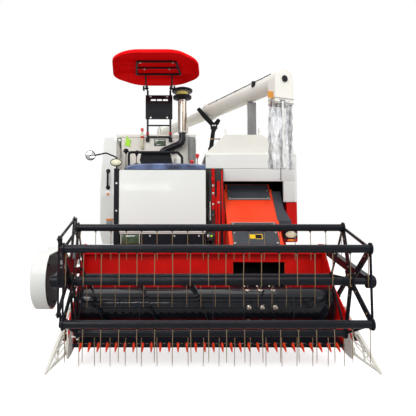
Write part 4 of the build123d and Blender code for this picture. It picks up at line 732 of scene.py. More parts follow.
def levers():
    """Hand levers with pear-shaped grips and their rubber boots."""
    table = ((-715, 150, 1925, 2080, 22), (-93, 150, 1915, 1985, 24), (-30, 150, 1912, 2055, 24),
             (-120, 760, 1560, 1800, 20), (-200, 760, 1560, 1820, 20), (-822, 40, 1850, 2092, 26))
    stems, boots, black, red = shapes(4)
    for x, y, foot, top, grip in table:
        stems.tube([(x, y, foot), (x, y, top - grip)], 6, 10)
        boots.lathe((x, y, foot - 4), UP,
                    ((0, 26), (6, 27), (10, 21), (16, 22), (20, 16), (26, 16), (30, 10), (34, 7)), 20)
        head = red if x > -100 else black
        head.lathe((x, y, top - 2.4 * grip), UP,
                   ((0, 8), (6, 11), (grip, grip * 0.72), (grip * 1.5, grip), (grip * 1.95, grip * 0.96),
                    (grip * 2.3, grip * 0.6), (grip * 2.4, 3)), 24)
    for angle in turns(3):
        black.lathe((-822 + 24 * cos(angle + 0.5), 40 + 18 * sin(angle + 0.5), 2060), UP,
                    ((-9, 4), (-6, 10), (0, 12), (6, 10), (9, 4)), 14)
    hand_over("root", (stems, "lever_stems", BRIGHT, "chrome"), (boots, "lever_boots", RUBBER, "rubber"),
              (black, "lever_grips", PLASTIC, "black_plastic", "control_levers"),
              (red, "lever_grips_red", KNOB, "red_plastic"))


VOXEL = 0.010                      # these three in metres; grain of a cushion's mesh
PUFF = 0.016                       # furthest that pressure moves a cushion's skin
SEAM = 0.007                       # depth and half width of a sewn channel


def puff(piece):
    """Blows a closed mesh up a little with cloth pressure and keeps the result."""
    scene = bpy.context.scene
    remesh = piece.modifiers.new("voxels", "REMESH")
    remesh.mode = "VOXEL"
    remesh.voxel_size = VOXEL
    apply_modifiers(piece)
    rest = [vert.co.copy() for vert in piece.data.vertices]
    cloth = piece.modifiers.new("cloth", "CLOTH")
    cloth.settings.quality = 4
    cloth.settings.use_pressure = True
    cloth.settings.uniform_pressure_force = 4
    cloth.settings.effector_weights.gravity = 0
    for step in range(1, 21):
        scene.frame_set(step)
    blown = piece.evaluated_get(bpy.context.evaluated_depsgraph_get()).data
    moved = [vert.co.copy() for vert in blown.vertices]
    piece.modifiers.remove(cloth)
    scene.frame_set(1)
    for vert, start, end in zip(piece.data.vertices, rest, moved):
        shift = end - start
        vert.co = start + (shift * min(1.0, PUFF / shift.length) if shift.length > 1e-9 else shift)


def apply_modifiers(piece):
    """Replaces a piece's mesh by its modified one."""
    made = bpy.data.meshes.new_from_object(piece.evaluated_get(bpy.context.evaluated_depsgraph_get()))
    piece.modifiers.clear()
    piece.data = made


def seat():
    """Seat pan with a blown-up cushion and back in vinyl, with sewn channels and piping."""
    pan, piping = shapes(2)
    pan.block((-715, 575, 1560), (-285, 950, 1612), 14)
    pan.block((-700, 925, 1600), (-300, 962, 2095), 14)
    pan.done("seat_pan", "root", PLASTIC, "black_plastic", ("seat",))
    for name, low, high, across, along in (("seat_cushion", (-712, 580, 1616), (-288, 900, 1692), 2, 1),
                                           ("seat_back", (-704, 862, 1712), (-296, 922, 2100), 1, 2)):
        shape = Shape()
        shape.block(low, high, 26)
        piece = shape.done(name, "root", VINYL, "vinyl")
        puff(piece)
        smooth = piece.modifiers.new("smooth", "SUBSURF")
        smooth.levels = smooth.render_levels = 1
        apply_modifiers(piece)
        sink_seams(piece, low, high, across, along)
        for face in piece.data.polygons:
            face.use_smooth = True
    for line in ([(-706, 590, 1690), (-706, 896, 1690), (-294, 896, 1690), (-294, 590, 1690), (-706, 590, 1690)],
                 [(-698, 866, 1720), (-698, 866, 2094), (-302, 866, 2094), (-302, 866, 1720), (-698, 866, 1720)]):
        piping.tube(rounded(line, 34), 4, 8)
    piping.done("seat_piping", "root", PLASTIC, "vinyl")


def sink_seams(piece, low, high, across, along):
    """Presses four sewn channels into a cushion's top or a back's front, which lies across an axis."""
    outward = 1 if across == 2 else -1
    middle = (ORIGIN + (Vector(low) + Vector(high)) / 2 * MM)[across]
    for vert in piece.data.vertices:
        for k in range(4):
            line = ORIGIN[along] + (low[along] + (high[along] - low[along]) * (k + 1) / 5) * MM
            if (vert.co[across] - middle) * outward > 0:
                vert.co[across] -= outward * SEAM * exp(-((vert.co[along] - line) / SEAM) ** 2)


def lamp_set():
    """Oval headlamp, work lamp with its marker, and the tall beacon by the tank."""
    shells, glass, caps, bands, orange = shapes(5)
    head = (-921, 1924)
    shells.skin([ellipse(head, wide, tall, y) for y, wide, tall in (
        (14, 30, 20), (6, 48, 32), (-14, 61, 40), (-38, 65, 43), (-43, 64, 42), (-43, 58, 36), (-36, 57, 35))])
    shells.tube([(-921, 20, 1890), (-921, 22, 1872), (-921, 22, 1850)], 9, 10)
    glass.skin([ellipse(head, wide, tall, y) for y, wide, tall in (
        (-34, 57, 35), (-41, 56, 34.5), (-46, 46, 28), (-49, 30, 18), (-50, 6, 4))])
    shells.block((926, 116, 1098), (1074, 188, 1188), 16)
    shells.block((990, 160, 1120), (1030, 205, 1180), 3)
    glass.lathe((1000, 116, 1146), FRONT, ((0, 60), (4, 60), (8, 52), (10, 30), (11, 4)), 32, 0.62)
    orange.block((965, 120, 1072), (1035, 170, 1094), 8)
    bottle = (-712, 1085)
    shells.block((-730, 1085, 2320), (-694, 1112, 2360), 3)
    glass.lathe((*bottle, 2300), UP, ((0, 16), (4, 20), (150, 20), (176, 15), (232, 14), (240, 10)), 24)
    bands.lathe((*bottle, 2440), UP, ((0, 20.8), (28, 20.8)), 24)
    caps.lathe((*bottle, 2534), UP, ((0, 14), (8, 19), (34, 20), (46, 14), (49, 4)), 24)
    shells.done("lamp_shells", "root", PLASTIC, "black_plastic", ("lamps",))
    glass.done("lamp_glass", "root", LENS, "white_plastic", crease=50)
    hand_over("root", (bands, "beacon_band", RED, "red_plastic"), (caps, "beacon_cap", KNOB, "red_plastic"),
              (orange, "work_lamp_marker", AMBER, "orange_red"))


def mirror_and_cover():
    """Mirror glass, the grab handle, lock and reflector of the side cover, and the lime tag."""
    pale, dark, rubber, red, lime = shapes(5)
    pale.lathe((-1212, 21, 2012), FRONT, ((-1, 46), (1.5, 46), (4, 30), (5, 4)), 32)
    pale.lathe((-1212, 35, 2012), REAR, ((-1, 48), (1, 48), (1.2, 4)), 32)
    dark.lathe((-1212, 18, 2012), FRONT, ((0, 9), (6, 8), (8, 4)), 16)
    for y in (20.5, 35.5):
        dark.tube(ellipse((-1212, 2012), 51, 51, y), 2.6, 8, loop=True)
    dark.tube(rounded([(-1098, 620, 1725), (-1098, 575, 1725), (-1098, 575, 1930), (-1098, 620, 1930)], 25), 12, 12)
    for z in (1725, 1930):
        dark.lathe((-1098, 620, z), FRONT, ((0, 27), (6, 25), (10, 14)), 24)
    for x, z in ((-920, 1870), (-920, 1910)):
        dark.bolt((x, 12, z), FRONT, 7)
    red.lathe((-1097, 620, 1646), FRONT, ((0, 15), (5, 14), (6, 9), (14, 8), (15, 4)), 20)
    red.block((-1104, 598, 1622), (-1090, 606, 1646), 2)
    red.block((-1118, 613, 1322), (-1032, 621, 1344), 3)
    rubber.block((-1114, 614, 1278), (-1036, 621, 1320), 3)
    lime.plate([(-936, 1106, 2400), (-915, 1100, 2490), (-896, 1106, 2440), (-862, 1102, 2425), (-878, 1100, 2380),
                (-868, 1104, 2330), (-900, 1107, 2340), (-950, 1101, 2352)], (0, -3, 0))
    hand_over("root", (pale, "mirror_glass", MIRROR, "chrome"), (dark, "grab_handle", PLASTIC, "black_plastic"),
              (red, "cover_lock", AMBER, "red_plastic"), (rubber, "cover_reflector", GREY, "grey"),
              (lime, "lime_tag", LIME, "white_plastic"))


def panel_trim():
    """Edge trim of the front panel, and the kick panel's trim, bolts and step plate."""
    edge, bolts, green, strip = shapes(4)
    corners = ((-884, 1173), (-884, 1841), (44, 1841), (44, 1173), (-884, 1173))
    edge.tube(rounded([(x, PANEL_FACE - 1, z) for x, z in corners], 16), 4.5, 8)
    strip.block((-884, 0, 1152), (44, 12, 1166), 3)
    for x in (-850, -554, -290, -25):
        bolts.bolt((x, 4, 1129), FRONT, 7)
    for z in (1400, 1700):
        bolts.bolt((-919, -5, z), FRONT, 7)
    green.block((-868, 0, 1040), (-667, 5, 1146), 3)
    for x in (-868, -667):
        strip.block((x - 3, -1, 1040), (x + 3, 5, 1150), 1.5)
    hand_over("root", (edge, "panel_edge", WHITE, "white"), (strip, "kick_panel_trim", CREAM, "cream"),
              (bolts, "panel_bolts", STEEL, "steel"), (green, "step_plate", GREEN, "dark_grey"))


def gap_fittings():
    """Pipes, strut, valve and dark cylinder in the gap between the panel and the feeder, with a dark sheet of painted
    shade behind them.
    """
    red, dark, bright = shapes(3)
    red.bar((245, 106, 1196), (240, 106, 1862), 16, 16)
    red.block((118, 52, 1738), (154, 74, 1774), 6)
    pipes = Shape()
    for x, y, low, high, radius in ((172, 96, 800, 1560, 10), (205, 90, 780, 1480, 12), (262, 120, 760, 1420, 8)):
        pipes.tube([(x, y, low), (x, y, high)], radius, 12)
        for z in (low + 180, high - 260):
            pipes.lathe((x, y, z), UP,
                        ((-9, radius + 1), (-7, radius + 5), (7, radius + 5), (9, radius + 1)), 16)
    pipes.done("gap_lines", "root", RED, "red")
    # Painted shade: a dark sheet at the back of the gap, where only shade falls.
    dark.block((64, 152, 760), (262, 156, 1890), 1)
    dark.lathe((105, 92, 1511), UP,
               ((0, 15), (4, 19), (150, 19), (152, 22), (172, 22), (174, 19), (330, 19), (338, 12)), 24)
    bright.tube([(105, 92, 1300), (105, 92, 1515)], 8, 12)
    for x, sway in ((84, -12), (128, 10), (146, -8)):
        dark.tube(rounded([(x, 100, 780), (x + sway, 84, 960), (x - sway, 88, 1200), (x, 104, 1420)], 260, 8), 9, 10)
    dark.block((66, 40, 1080), (130, 100, 1170), 6)
    bright.block((64, 24, 1112), (94, 44, 1144), 5)
    for z in (1140, 1250, 1365, 1480, 1600, 1690):
        bright.bolt((142, 110, z), FRONT, 8)
    for z in (1080, 1290, 1500):
        bright.bolt((202, 110, z), FRONT, 8)
    hand_over("root", (red, "gap_pipes", RED, "red"), (dark, "gap_hoses_and_shade_sheet", RUBBER, "rubber"),
              (bright, "gap_fittings", STEEL, "steel"))
    valve = Shape()
    valve.lathe((112, 24, 1128), FRONT, ((-6, 9), (0, 12), (10, 12), (12, 6)), 16)
    valve.done("gap_valve", "root", LIME, "steel")


def shade_sheets_and_conveyor():
    """Dark sheets of painted shade behind the front cover and inside the feeder house's mouth, and the conveyor inside
    the feeder house.
    """
    dark, shade_sheet, slats = shapes(3)
    # Painted shade: dark sheets in the recess behind the front cover, where only shade falls.
    dark.block((72, 728, 1300), (1066, 732, 1895), 1)
    dark.block((1064, 217, 1516), (1070, 727, 1893), 1)
    dark.block((946, 217, 1514), (1064, 727, 1518), 1)
    # Painted shade: dark sheets lining the feeder house's mouth, which lies in shade.
    for x in (306, 827):
        shade_sheet.plate([(x, -256, 563), (x, -256, 861), (x, -180, 937), (x, 388, 1586), (x, 598, 1373)], (2, 0, 0))
    for start, end in (((-256, 861), (-180, 937)), ((-180, 937), (388, 1586)), ((-256, 563), (598, 1373))):
        drop = -2 if start[1] > 600 else 2
        shade_sheet.plate([(308, *start), (827, *start), (827, *end), (308, *end)], (0, -drop * 0.7, drop))
    for k in range(16):
        y, z = -250 + 52 * k, 575 + 49.3 * k
        slats.bar((330, y, z + 6), (805, y, z + 6), 26, 10, (0, 1, 0.95))
    for x in (345, 567, 790):
        slats.bar((x, -254, 578), (x, 560, 1350), 20, 14)
    dark.done("cover_painted_shade", "root", SATIN, "black")
    hand_over("feeder", (shade_sheet, "feeder_painted_shade", SATIN, "black"), (slats, "feeder_chain", SATIN, "black"))


# ---------------------------------------------------------------- intake, tank and canopy
def cleaner():
    """Pre-cleaner with a clear bowl over its yellow separator, the intake pipe's clamps and the hose's rings."""
    foot = Vector((*CLEANER, 2944))
    dark, bowl, core = shapes(3)
    dark.lathe(foot, UP, ((0, 60), (4, 62), (10, 74), (20, 116), (24, 122), (50, 124), (54, 118), (56, 96)), 40)
    dark.lathe(foot, UP, ((110, 98), (114, 134), (118, 137), (134, 137), (139, 134), (146, 110), (158, 88), (162, 60),
                          (162, 4)), 40)
    bowl.lathe(foot, UP, ((55, 104), (60, 112), (84, 118), (108, 120), (112, 112)), 40)
    core.lathe(foot, UP, ((54, 64), (57, 72), (106, 76), (111, 64)), 32)
    for angle in turns(12):
        way = Vector((cos(angle), sin(angle), 0))
        core.bar(foot + UP * 57 + way * 72, foot + UP * 106 + way.lerp(way.cross(UP), 0.4) * 78, 12, 4, way)
    hand_over("root", (dark, "cleaner_tray", PLASTIC, "black_plastic", "pre_cleaner"),
              (core, "cleaner_core", CORE, "orange_red"))
    bowl.done("cleaner_bowl", "root", BOWL, "clear", crease=60)
    clamps = Shape()
    x, y = CLEANER
    for z in (2510, 2925):
        clamps.lathe((x, y, z), UP, ((-8, 59), (-7, 61), (7, 61), (8, 59)), 36)
        clamps.tube([(x - 16, y - 64, z), (x + 18, y - 64, z)], 6, 10)
    clamps.done("intake_clamps", "root", STEEL, "steel")
    rings = Shape()
    start, end = Vector((-205, 1035, 2355)), Vector((-415, 1035, 2265))
    for k in range(9):
        middle = start.lerp(end, k / 8)
        rings.lathe(middle, end - start, ((-6, 44.5), (-2, 48.5), (2, 48.5), (6, 44.5)), 28)
    rings.done("hose_rings", "root", GLOSS_BLACK, "rubber")


def canopy_skin():
    """Moulded eight-sided canopy with a turned-down rim, dished and ribbed underneath."""
    corners = [(-820, 120), (-250, 120), (-1, 400), (53, 930), (-215, 1240), (-780, 1240), (-1084, 930), (-1021, 290)]
    middle = (-515, 690)
    bends = (130, 130, 150, 150, 160, 160, 150, 130)

    def plan(inset, z):
        share = 1 - inset / 560
        scaled = [Vector((middle[0] + (x - middle[0]) * share, middle[1] + (y - middle[1]) * share, z))
                  for x, y in corners]
        ring = []
        for k, corner in enumerate(scaled):
            before, after = scaled[k - 1], scaled[(k + 1) % 8]
            bend = bends[k] * share
            start = corner + (before - corner).normalized() * bend
            end = corner + (after - corner).normalized() * bend
            ring += [start.lerp(corner, t / 6).lerp(corner.lerp(end, t / 6), t / 6) for t in range(7)]
        return ring

    rim, seat_z, top = 3213, 3247.6, 3297
    levels = ((262, seat_z), (250, seat_z), (238, seat_z - 6), (214, seat_z - 6), (202, seat_z), (96, seat_z),
              (84, seat_z - 1), (74, seat_z - 9), (62, seat_z - 11), (30, rim + 9), (19, rim), (3, rim), (0, rim + 3),
              (0, rim + 29), (5, rim + 36), (22, rim + 50), (60, rim + 62), (110, top - 10), (170, top - 4), (250, top))
    shell = Shape()
    shell.skin([plan(inset, z) for inset, z in levels])
    shell.done("canopy_skin", "canopy", SHELL, "red_plastic", ("canopy_shell",), crease=40)


def canopy_trim():
    """Frame bolts, lobed hand knobs, post clamps and the bolts of the posts' plate."""
    bolts, knobs, red = shapes(3)
    for x in (-656, -346):
        bolts.lathe((x, 640, 3223), DOWN, ((-4, 14), (4, 14), (5, 9), (14, 9), (15, 5)), 20)
    for x in (-700, -305):
        bolts.bolt((x, 440, 3222), DOWN, 9)
    for x, side in ((-640, -1), (-335, 1)):
        foot = x + side * 42
        for angle in turns(7):
            knobs.lathe((foot, 1097 + 25 * cos(angle), 3128 + 25 * sin(angle)), (side, 0, 0),
                        ((0, 8), (2, 9.5), (20, 9.5), (23, 7)), 12)
        knobs.lathe((foot, 1097, 3128), (side, 0, 0), ((18, 25), (24, 22), (26, 12)), 20)
        red.block((x - 20, 1078, 2494), (x + 20, 1086, 2520), 3)
    hand_over("canopy", (bolts, "canopy_bolts", STEEL, "steel"), (knobs, "canopy_knobs", PLASTIC, "black_plastic"))
    red.done("post_clamps", "root", RED, "red")
    plate = Shape()
    for x, z in ((-598, 2720), (-598, 3010), (-377, 2720), (-377, 3010)):
        plate.bolt((x, 1075, z), FRONT, 8)
    plate.done("post_plate_bolts", "root", STEEL, "steel")


def tank_trim():
    """Windows, ribs and bolts of the grain tank, and the latches and handle of its lid."""
    dark, pane, ribs, bolts = shapes(4)
    low, high = room("grain_tank")
    front = low.y
    for x0, x1, z0, z1 in ((-545, -405, 2352, 2428), (-1040, -1000, 2176, 2442)):
        dark.block((x0 - 8, front - 5, z0 - 8), (x1 + 8, front, z1 + 8), 4)
        pane.block((x0, front - 8, z0), (x1, front - 2, z1), 3)
    ribs.block((low.x + 20, front - 10, 2462), (high.x - 20, front, 2484), 3)
    for y in range(1300, 2500, 290):
        ribs.block((low.x - 5, y, 1520), (low.x, y + 36, 2450), 2)
        ribs.block((high.x, y, 2085), (high.x + 4, y + 36, 2450), 2)
    for y in (1240, 2440):
        bolts.bolt((low.x, y, 2474), RIGHT, 8)
    for x in range(-980, 1, 160):
        bolts.bolt((x, high.y, 2470), REAR, 7)
        bolts.bolt((x, high.y, 1600), REAR, 7)
    dark.block((-640, high.y, 1900), (-420, high.y + 6, 2300), 3)
    pane.block((-628, high.y + 4, 1912), (-432, high.y + 8, 2288), 3)
    hand_over("root", (dark, "tank_window_frames", RUBBER, "rubber"), (pane, "tank_windows", GREEN, "dark_grey"),
              (ribs, "tank_ribs", CREAM, "cream"), (bolts, "tank_bolts", STEEL, "steel"))
    latch = Shape()
    _, lid = room("tank_lid")
    for y in (1550, 2050):
        latch.block((lid.x - 30, y, lid.z - 12), (lid.x, y + 60, lid.z - 2), 3)
    latch.tube(rounded([(lid.x - 60, 1760, lid.z - 14), (lid.x - 60, 1760, lid.z - 1),
                        (lid.x - 60, 1860, lid.z - 1), (lid.x - 60, 1860, lid.z - 14)], 12), 5, 8)
    latch.done("lid_latches", "tank_lid", STEEL, "steel")


# ---------------------------------------------------------------- covers
def cover_trim():
    """Bands of painted shade, joints and bolts of the thresher's covers, the wire hook, and the rest post's skin and
    pin.
    """
    band, joint, bolts, hook = shapes(4)
    face = COVER_FACE
    # Painted shade: the lower bands of the covers carry a shaded copy of the white paint.
    band.block((171, face - 2.5, 1752), (911, face + 1, 1892), 1.2)
    band.block((921, face - 2.5, 1752), (1074, face + 1, 1892), 1.2)
    band.block((946, face - 2.5, 1516), (1074, face + 1, 1751), 1.2)
    joint.block((912, face - 1.5, 1752), (920, face + 1, 1893), 0.5)
    joint.block((70, face - 0.8, 1892.5), (1074, face + 1, 1895.5), 0.5)
    for x, z in ((190, 1775), (900, 1775), (1055, 1530), (965, 1530), (1055, 2040), (90, 2040)):
        bolts.bolt((x, face - 1, z), FRONT, 6)
    line = [(735, 262, 2268), (690, 250, 2258), (672, 246, 2228), (700, 250, 2205), (742, 262, 2188)]
    hook.tube(rounded(line, 24), 3.4, 8)
    hand_over("root", (band, "cover_shade_bands", SHADE, "white"), (joint, "cover_joints", SATIN, "black"),
              (bolts, "cover_bolts", STEEL, "steel"), (hook, "cover_hook", ZINC, "steel"))
    post = Shape()
    low, high = (564, 240, 2290), (655, 305, 2673)
    post.block((low[0] - 1.5, low[1] - 1.5, low[2]), (high[0] + 1.5, high[1] + 1.5, high[2] - 2), 4)
    post.done("rest_post_skin", "root", MID_GREY, "grey")
    mast = Shape()
    mast.lathe((200, 1128, 2442), LEFT, ((0, 9), (2, 12), (20, 12), (22, 8), (120, 8), (122, 14), (134, 14)), 16)
    mast.done("rest_pin", "root", ZINC, "steel")


# ---------------------------------------------------------------- unloading tube
def tube_trim():
    """Flange bolts, cable and clips, end cap, blank orange plate and the bands round the sleeve."""
    length = (SPOUT - TUBE_ROOT).length
    bolts, dark, cap, orange, strap = shapes(5)
    side = ACROSS.normalized()
    up = side.cross(TUBE_WAY).normalized()
    up = up if up.z > 0 else -up

    def beside(reach, radius, across=0.62, above=0.80):
        """Point off the tube's axis."""
        return TUBE_ROOT + TUBE_WAY * reach + (side * across + up * above) * radius

    for angle in turns(12, 0.5):
        bolts.bolt(beside(length / 2 + 44, 108, cos(angle), sin(angle)), TUBE_WAY, 6)
    line = ((length * 0.53, 103), (length * 0.7, 103), (length * 0.9, 103), (length - 150, 104))
    dark.tube([beside(reach, radius) for reach, radius in line], 5, 8)
    half = Vector((9, 9, 6))
    for reach in (length * 0.60, length * 0.74):
        dark.block(beside(reach, 100) - half, beside(reach, 104) + half, 4)
    clip = beside(length * 0.875, 104, 0.9, 0.43)
    dark.block(clip - Vector((26, 24, 30)), clip + Vector((16, 24, 30)), 8)
    cap.lathe(SPOUT + FLAT_WAY * 9, FLAT_WAY, ((0, 35), (4, 35), (6, 31), (6.5, 14), (9, 12), (10, 4)), 32)
    foot = SPOUT - FLAT_WAY * 40 + side * 106 - UP * 205
    orange.plate([foot, foot + side * 68, foot + side * 68 + UP * 70, foot + UP * 70], FLAT_WAY * 3)
    for drop in (250, 205):
        middle = SPOUT - FLAT_WAY * SLEEVE_BACK - UP * drop
        corners = [middle + side * a + FLAT_WAY * b for a, b in (
            (112.5, 69.5), (-112.5, 69.5), (-112.5, -69.5), (112.5, -69.5), (112.5, 69.5))]
        strap.tube(rounded(corners, 14), 4, 8)
    hand_over("tube", (bolts, "tube_bolts", STEEL, "steel"), (dark, "tube_cable", PLASTIC, "black_plastic"),
              (cap, "hood_cap", PLASTIC, "black_plastic"), (orange, "hood_plate", OCHRE, "orange_red"),
              (strap, "sleeve_bands", STEEL, "steel"))


def slack(z):
    """How loose the sleeve hangs at one height, from 0 at the hood to 1."""
    return min(1.0, max(0.0, (HOOD_EDGE - z) / 260))


def sleeve():
    """Crumpled clear sleeve on the hood, with the white strap down its front."""
    middle = SPOUT - FLAT_WAY * SLEEVE_BACK
    skin, strap = shapes(2)
    rings = []
    rows, count = 46, 72
    folds = [(random.uniform(2, 9), random.uniform(0, 6.28), random.uniform(-0.02, 0.02)) for _ in range(7)]
    for row in range(rows):
        z = SLEEVE_TOP - (SLEEVE_TOP - SLEEVE_FOOT) * row / (rows - 1)
        drop = slack(z)
        outer = []
        for angle in turns(count):
            c, s = cos(angle), sin(angle)
            wide = 113 + 14 * drop + 6 * sin(z * 0.011)
            deep = 70 - 4 * drop + 5 * sin(z * 0.017 + 1)
            x = wide * copysign(abs(c) ** 0.55, c)
            y = deep * copysign(abs(s) ** 0.55, s)
            crumple = sum(sin(n * angle + phase + z * twist) * 1.7 for n, phase, twist in folds) * drop
            crumple += 2.5 * drop * sin(z * 0.055 + 3 * sin(2 * angle))
            size = 1 + crumple / 95
            outer.append(middle + ACROSS * (x * size + 14 * drop) + FLAT_WAY * (y * size) + UP * (z - middle.z))
        rings.append(outer)
    skin.skin(rings, ends=False)
    skin.done("sleeve_skin", "tube", SLEEVE, "clear", ("spout_sleeve",), crease=80)
    line = []
    for k in range(24):
        z = 2500 - (2500 - 1816) * k / 23
        line.append(SPOUT + FLAT_WAY * (9 + 3 * sin(k * 0.9) * slack(z)) + ACROSS * (28 + 3 * sin(k * 0.7))
                    + UP * (z - SPOUT.z))
    edge = ACROSS * 13
    strap.skin([[point - edge, point + edge, point + edge + FLAT_WAY * 2, point - edge + FLAT_WAY * 2]
                for point in line])
    strap.done("sleeve_strap", "tube", WEB, "white_plastic", crease=60)


def rest_arms():
    """Round cheeks on the outer sides of the tube rest's two arms, with a plate and pins at the fork."""
    cheeks, pins = shapes(2)
    axis = TUBE_ROOT + TUBE_WAY * ((REST_Y - TUBE_ROOT.y) / TUBE_WAY.y)
    low = Vector((axis.x + 4, REST_Y, axis.z - 174))
    for x, z, length in ((-0.673, 0.740, 280), (0.64, 0.77, 70)):
        side = 1 if x > 0 else -1
        way, out = Vector((x, 0, z)), Vector((side * z, 0, -side * x))
        line = [low + out * 34 - Vector((0, 0, 60)), low + out * 32, low + way * length * 0.45 + out * 34,
                low + way * length * 0.8 + out * 27, low + way * length + out * 24]
        path = rounded(line, 90, 6)
        cheeks.tube(path, [20 + 7 * abs(sin(2.4 * k / len(path) + 0.2)) for k in range(len(path))], 14)
        cheeks.lathe(path[-1] - way * 6, way, ((0, 26), (6, 28), (16, 24), (22, 13), (24, 3)), 16)
        pins.bolt(low + out * 20 - Vector((0, 26, 24)), FRONT, 7)
    fork = ((-44, -6), (44, -6), (26, -110), (-18, -110))
    cheeks.skin([[low + Vector((x, y, z)) for x, z in fork] for y in (-25, 25)])
    hand_over("root", (cheeks, "rest_cheeks", SATIN, "black"), (pins, "rest_pins", STEEL, "steel"))


# ---------------------------------------------------------------- sides, rear and underside
def side_details():
    """Latches, vents, reflectors, curtain, bolts and hub caps that show from the sides and the rear."""
    bolts, dark, red, amber, curtain = shapes(5)
    latch, door_dark = shapes(2)
    x = room("side_door")[1].x
    for y, z in ((2330, 1500), (2330, 1880)):
        door_dark.block((x - 2, y, z), (x + 1, y + 70, z + 44), 1)
        latch.lathe((x, y + 35, z + 22), LEFT, ((0, 12), (3, 11), (5, 5)), 18)
    for k in range(8):
        z = 1440 + 16 * k
        door_dark.block((x - 6, 2060, z), (x + 1.5, 2240, z + 8), 1.5)
    hand_over("side_door", (latch, "door_latches", STEEL, "steel"), (door_dark, "door_vents", SATIN, "black"))
    screen, _ = room("radiator_door")
    latch = Shape()
    for z in (1260, 1640):
        latch.block((screen.x - 1, screen.y + 8, z), (screen.x + 4, screen.y + 34, z + 50), 1.5)
    latch.done("screen_latches", "radiator_door", STEEL, "steel")
    hood_low, hood_high = room("straw_hood")
    for xx in (hood_low.x + 60, hood_high.x - 120):
        red.block((xx, hood_high.y - 2, 1080), (xx + 60, hood_high.y, 1180), 1)
        amber.block((xx, hood_high.y - 2, 1195), (xx + 60, hood_high.y, 1245), 1)
    for k in range(11):
        xx = hood_low.x + 26 + k * 81
        curtain.block((xx, 3204, 700), (xx + 76, 3210, 1010), 2)
    for z in (900, 1150, 1285):
        for xx in (150, 580, 1010):
            bolts.bolt((xx, hood_high.y - 6.5, z), REAR, 6)
    for y in range(2660, 3200, 180):
        bolts.bolt((hood_high.x, y, 1000), LEFT, 7)
    for side in (-1, 1):
        centre = side * TRACK_X
        for y, z, radius in ((120, 430, 40), (2230, 300, 50)):
            dark.lathe((centre + side * 72, y, z), (side, 0, 0),
                       ((-2, radius), (14, radius), (18, radius - 8), (20, 12)), 28)
            for angle in turns(6):
                bolts.bolt((centre + side * 84, y + radius * 0.7 * cos(angle),
                            z + radius * 0.7 * sin(angle)), (side, 0, 0), 5)
        for k in range(7):
            y = 420 + 260 * k
            dark.lathe((centre + side * 75, y, 135), (side, 0, 0), ((-2, 26), (8, 24), (9, 8)), 20)
    low, high = room("lower_side_panel")
    foot = low.z + 40 if low.z > 700 else 820
    for y, z in [(y, foot) for y in range(900, 2600, 420)] + [(y, 1250) for y in (1000, 1500, 2000, 2450)]:
        bolts.bolt((high.x, y, z), LEFT, 7)
    hand_over("root", (bolts, "frame_bolts", STEEL, "steel"), (dark, "hub_caps", SATIN, "black"),
              (red, "rear_reflectors", KNOB, "red_plastic"), (amber, "rear_markers", AMBER, "orange_red"),
              (curtain, "straw_curtain", RUBBER, "rubber"))


# ---------------------------------------------------------------- stage, light and camera
FLOOR_HALF = 30.0                  # metres, as all lengths from here on
FLOOR_LIFT = 0.75                  # glow that the camera sees on the floor
KEY = 182                          # power of the key lamp
LAMPS = (("key", (-3.5, -6.5, 5.5), (4.0, 4.0), 1), ("fill", (5.0, -4.5, 4.0), (4.0, 4.0), 0.6),
         ("rear", (1.0, 6.5, 5.0), (4.0, 4.0), 0.9), ("top", (0.0, 0.0, 8.0), (5.0, 5.0), 0.7),
         ("strip", (-0.5, -5.0, 5.0), (3.5, 0.25), 0.25), ("low strip", (-1.2, -7.0, 2.4), (2.0, 0.12), 0.12))
EYE = Vector((-0.327, -3.598, 0.329))      # camera from the reel's axis
TILT = 94                          # degrees from looking straight down


def seen_directly(tree):
    """1 for rays from the camera, also through clear pieces, else 0."""
    rays = node(tree, "ShaderNodeLightPath").outputs
    return calc(tree, "MAXIMUM", rays["Is Camera Ray"], rays["Is Transmission Ray"])


def shown(name, data):
    """New object in the scene."""
    holder = bpy.data.objects.new(name, data)
    bpy.context.scene.collection.objects.link(holder)
    return holder


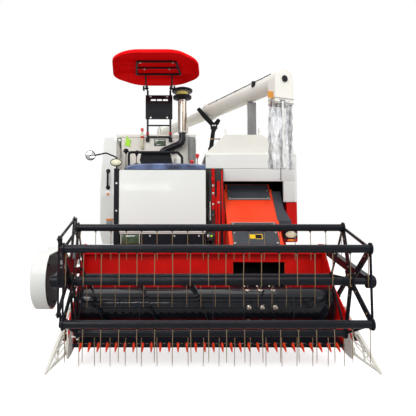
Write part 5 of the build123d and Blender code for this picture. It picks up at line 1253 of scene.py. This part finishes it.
def stage():
    """Pale floor and sky that look white to the camera but light the machine less, and soft lamps."""
    mesh = bpy.data.meshes.new("floor")
    corners = ((-1, -1), (1, -1), (1, 1), (-1, 1))
    mesh.from_pydata([(x * FLOOR_HALF, y * FLOOR_HALF, 0) for x, y in corners], [], [(0, 1, 2, 3)])
    floor = shown("floor", mesh)
    pale, tree, shader = surface("floor")
    plug(tree, shader, Base_Color=(0.5, 0.5, 0.5), Roughness=0.9)
    glow = node(tree, "ShaderNodeEmission", Strength=calc(tree, "MULTIPLY", seen_directly(tree), FLOOR_LIFT))
    both = node(tree, "ShaderNodeAddShader")
    for part, socket in zip((shader, glow), both.inputs):
        tree.links.new(part.outputs[0], socket)
    tree.links.new(both.outputs[0], tree.nodes["Material Output"].inputs["Surface"])
    mesh.materials.append(pale)

    world = bpy.data.worlds.new("sky")
    bpy.context.scene.world = world
    world.use_nodes = True
    tree = world.node_tree
    height = spread(tree, z_part(tree, node(tree, "ShaderNodeTexCoord").outputs["Generated"]), 0.40, 0.80, -0.1, 0.7)
    plug(tree, tree.nodes["Background"], Color=(1, 1, 1), Strength=calc(tree, "MAXIMUM", seen_directly(tree), height))

    middle = (CAD_BOX[0] + CAD_BOX[1]) / 2
    for name, place, size, share in LAMPS:
        lamp = bpy.data.lights.new(name, "AREA")
        lamp.shape = "RECTANGLE"
        lamp.size, lamp.size_y = size
        lamp.energy = KEY * share
        holder = shown(name, lamp)
        holder.location = place
        holder.rotation_euler = (middle - Vector(place)).to_track_quat("-Z", "Y").to_euler()


def camera():
    """Camera at eye height in front of the machine, looking slightly up."""
    lens = bpy.data.cameras.new("camera")
    lens.lens = 39.2
    lens.shift_x = 0.089
    holder = shown("camera", lens)
    holder.location = PLACE["reel_spin"] + EYE
    holder.rotation_euler = (radians(TILT), 0, 0)
    bpy.context.scene.camera = holder


dress_nodes()
for make in (tine_bars, reel_hardware, guard_tips, dividers, belt_cover, auger_guides, feeder_trim, header_trim, cowl,
             console_trim, levers, seat, lamp_set, mirror_and_cover, panel_trim, gap_fittings, shade_sheets_and_conveyor, cleaner,
             canopy_skin, canopy_trim, tank_trim, cover_trim, tube_trim, sleeve, rest_arms, side_details):
    make()
stage()
camera()
bpy.context.scene.view_settings.view_transform = "Standard"
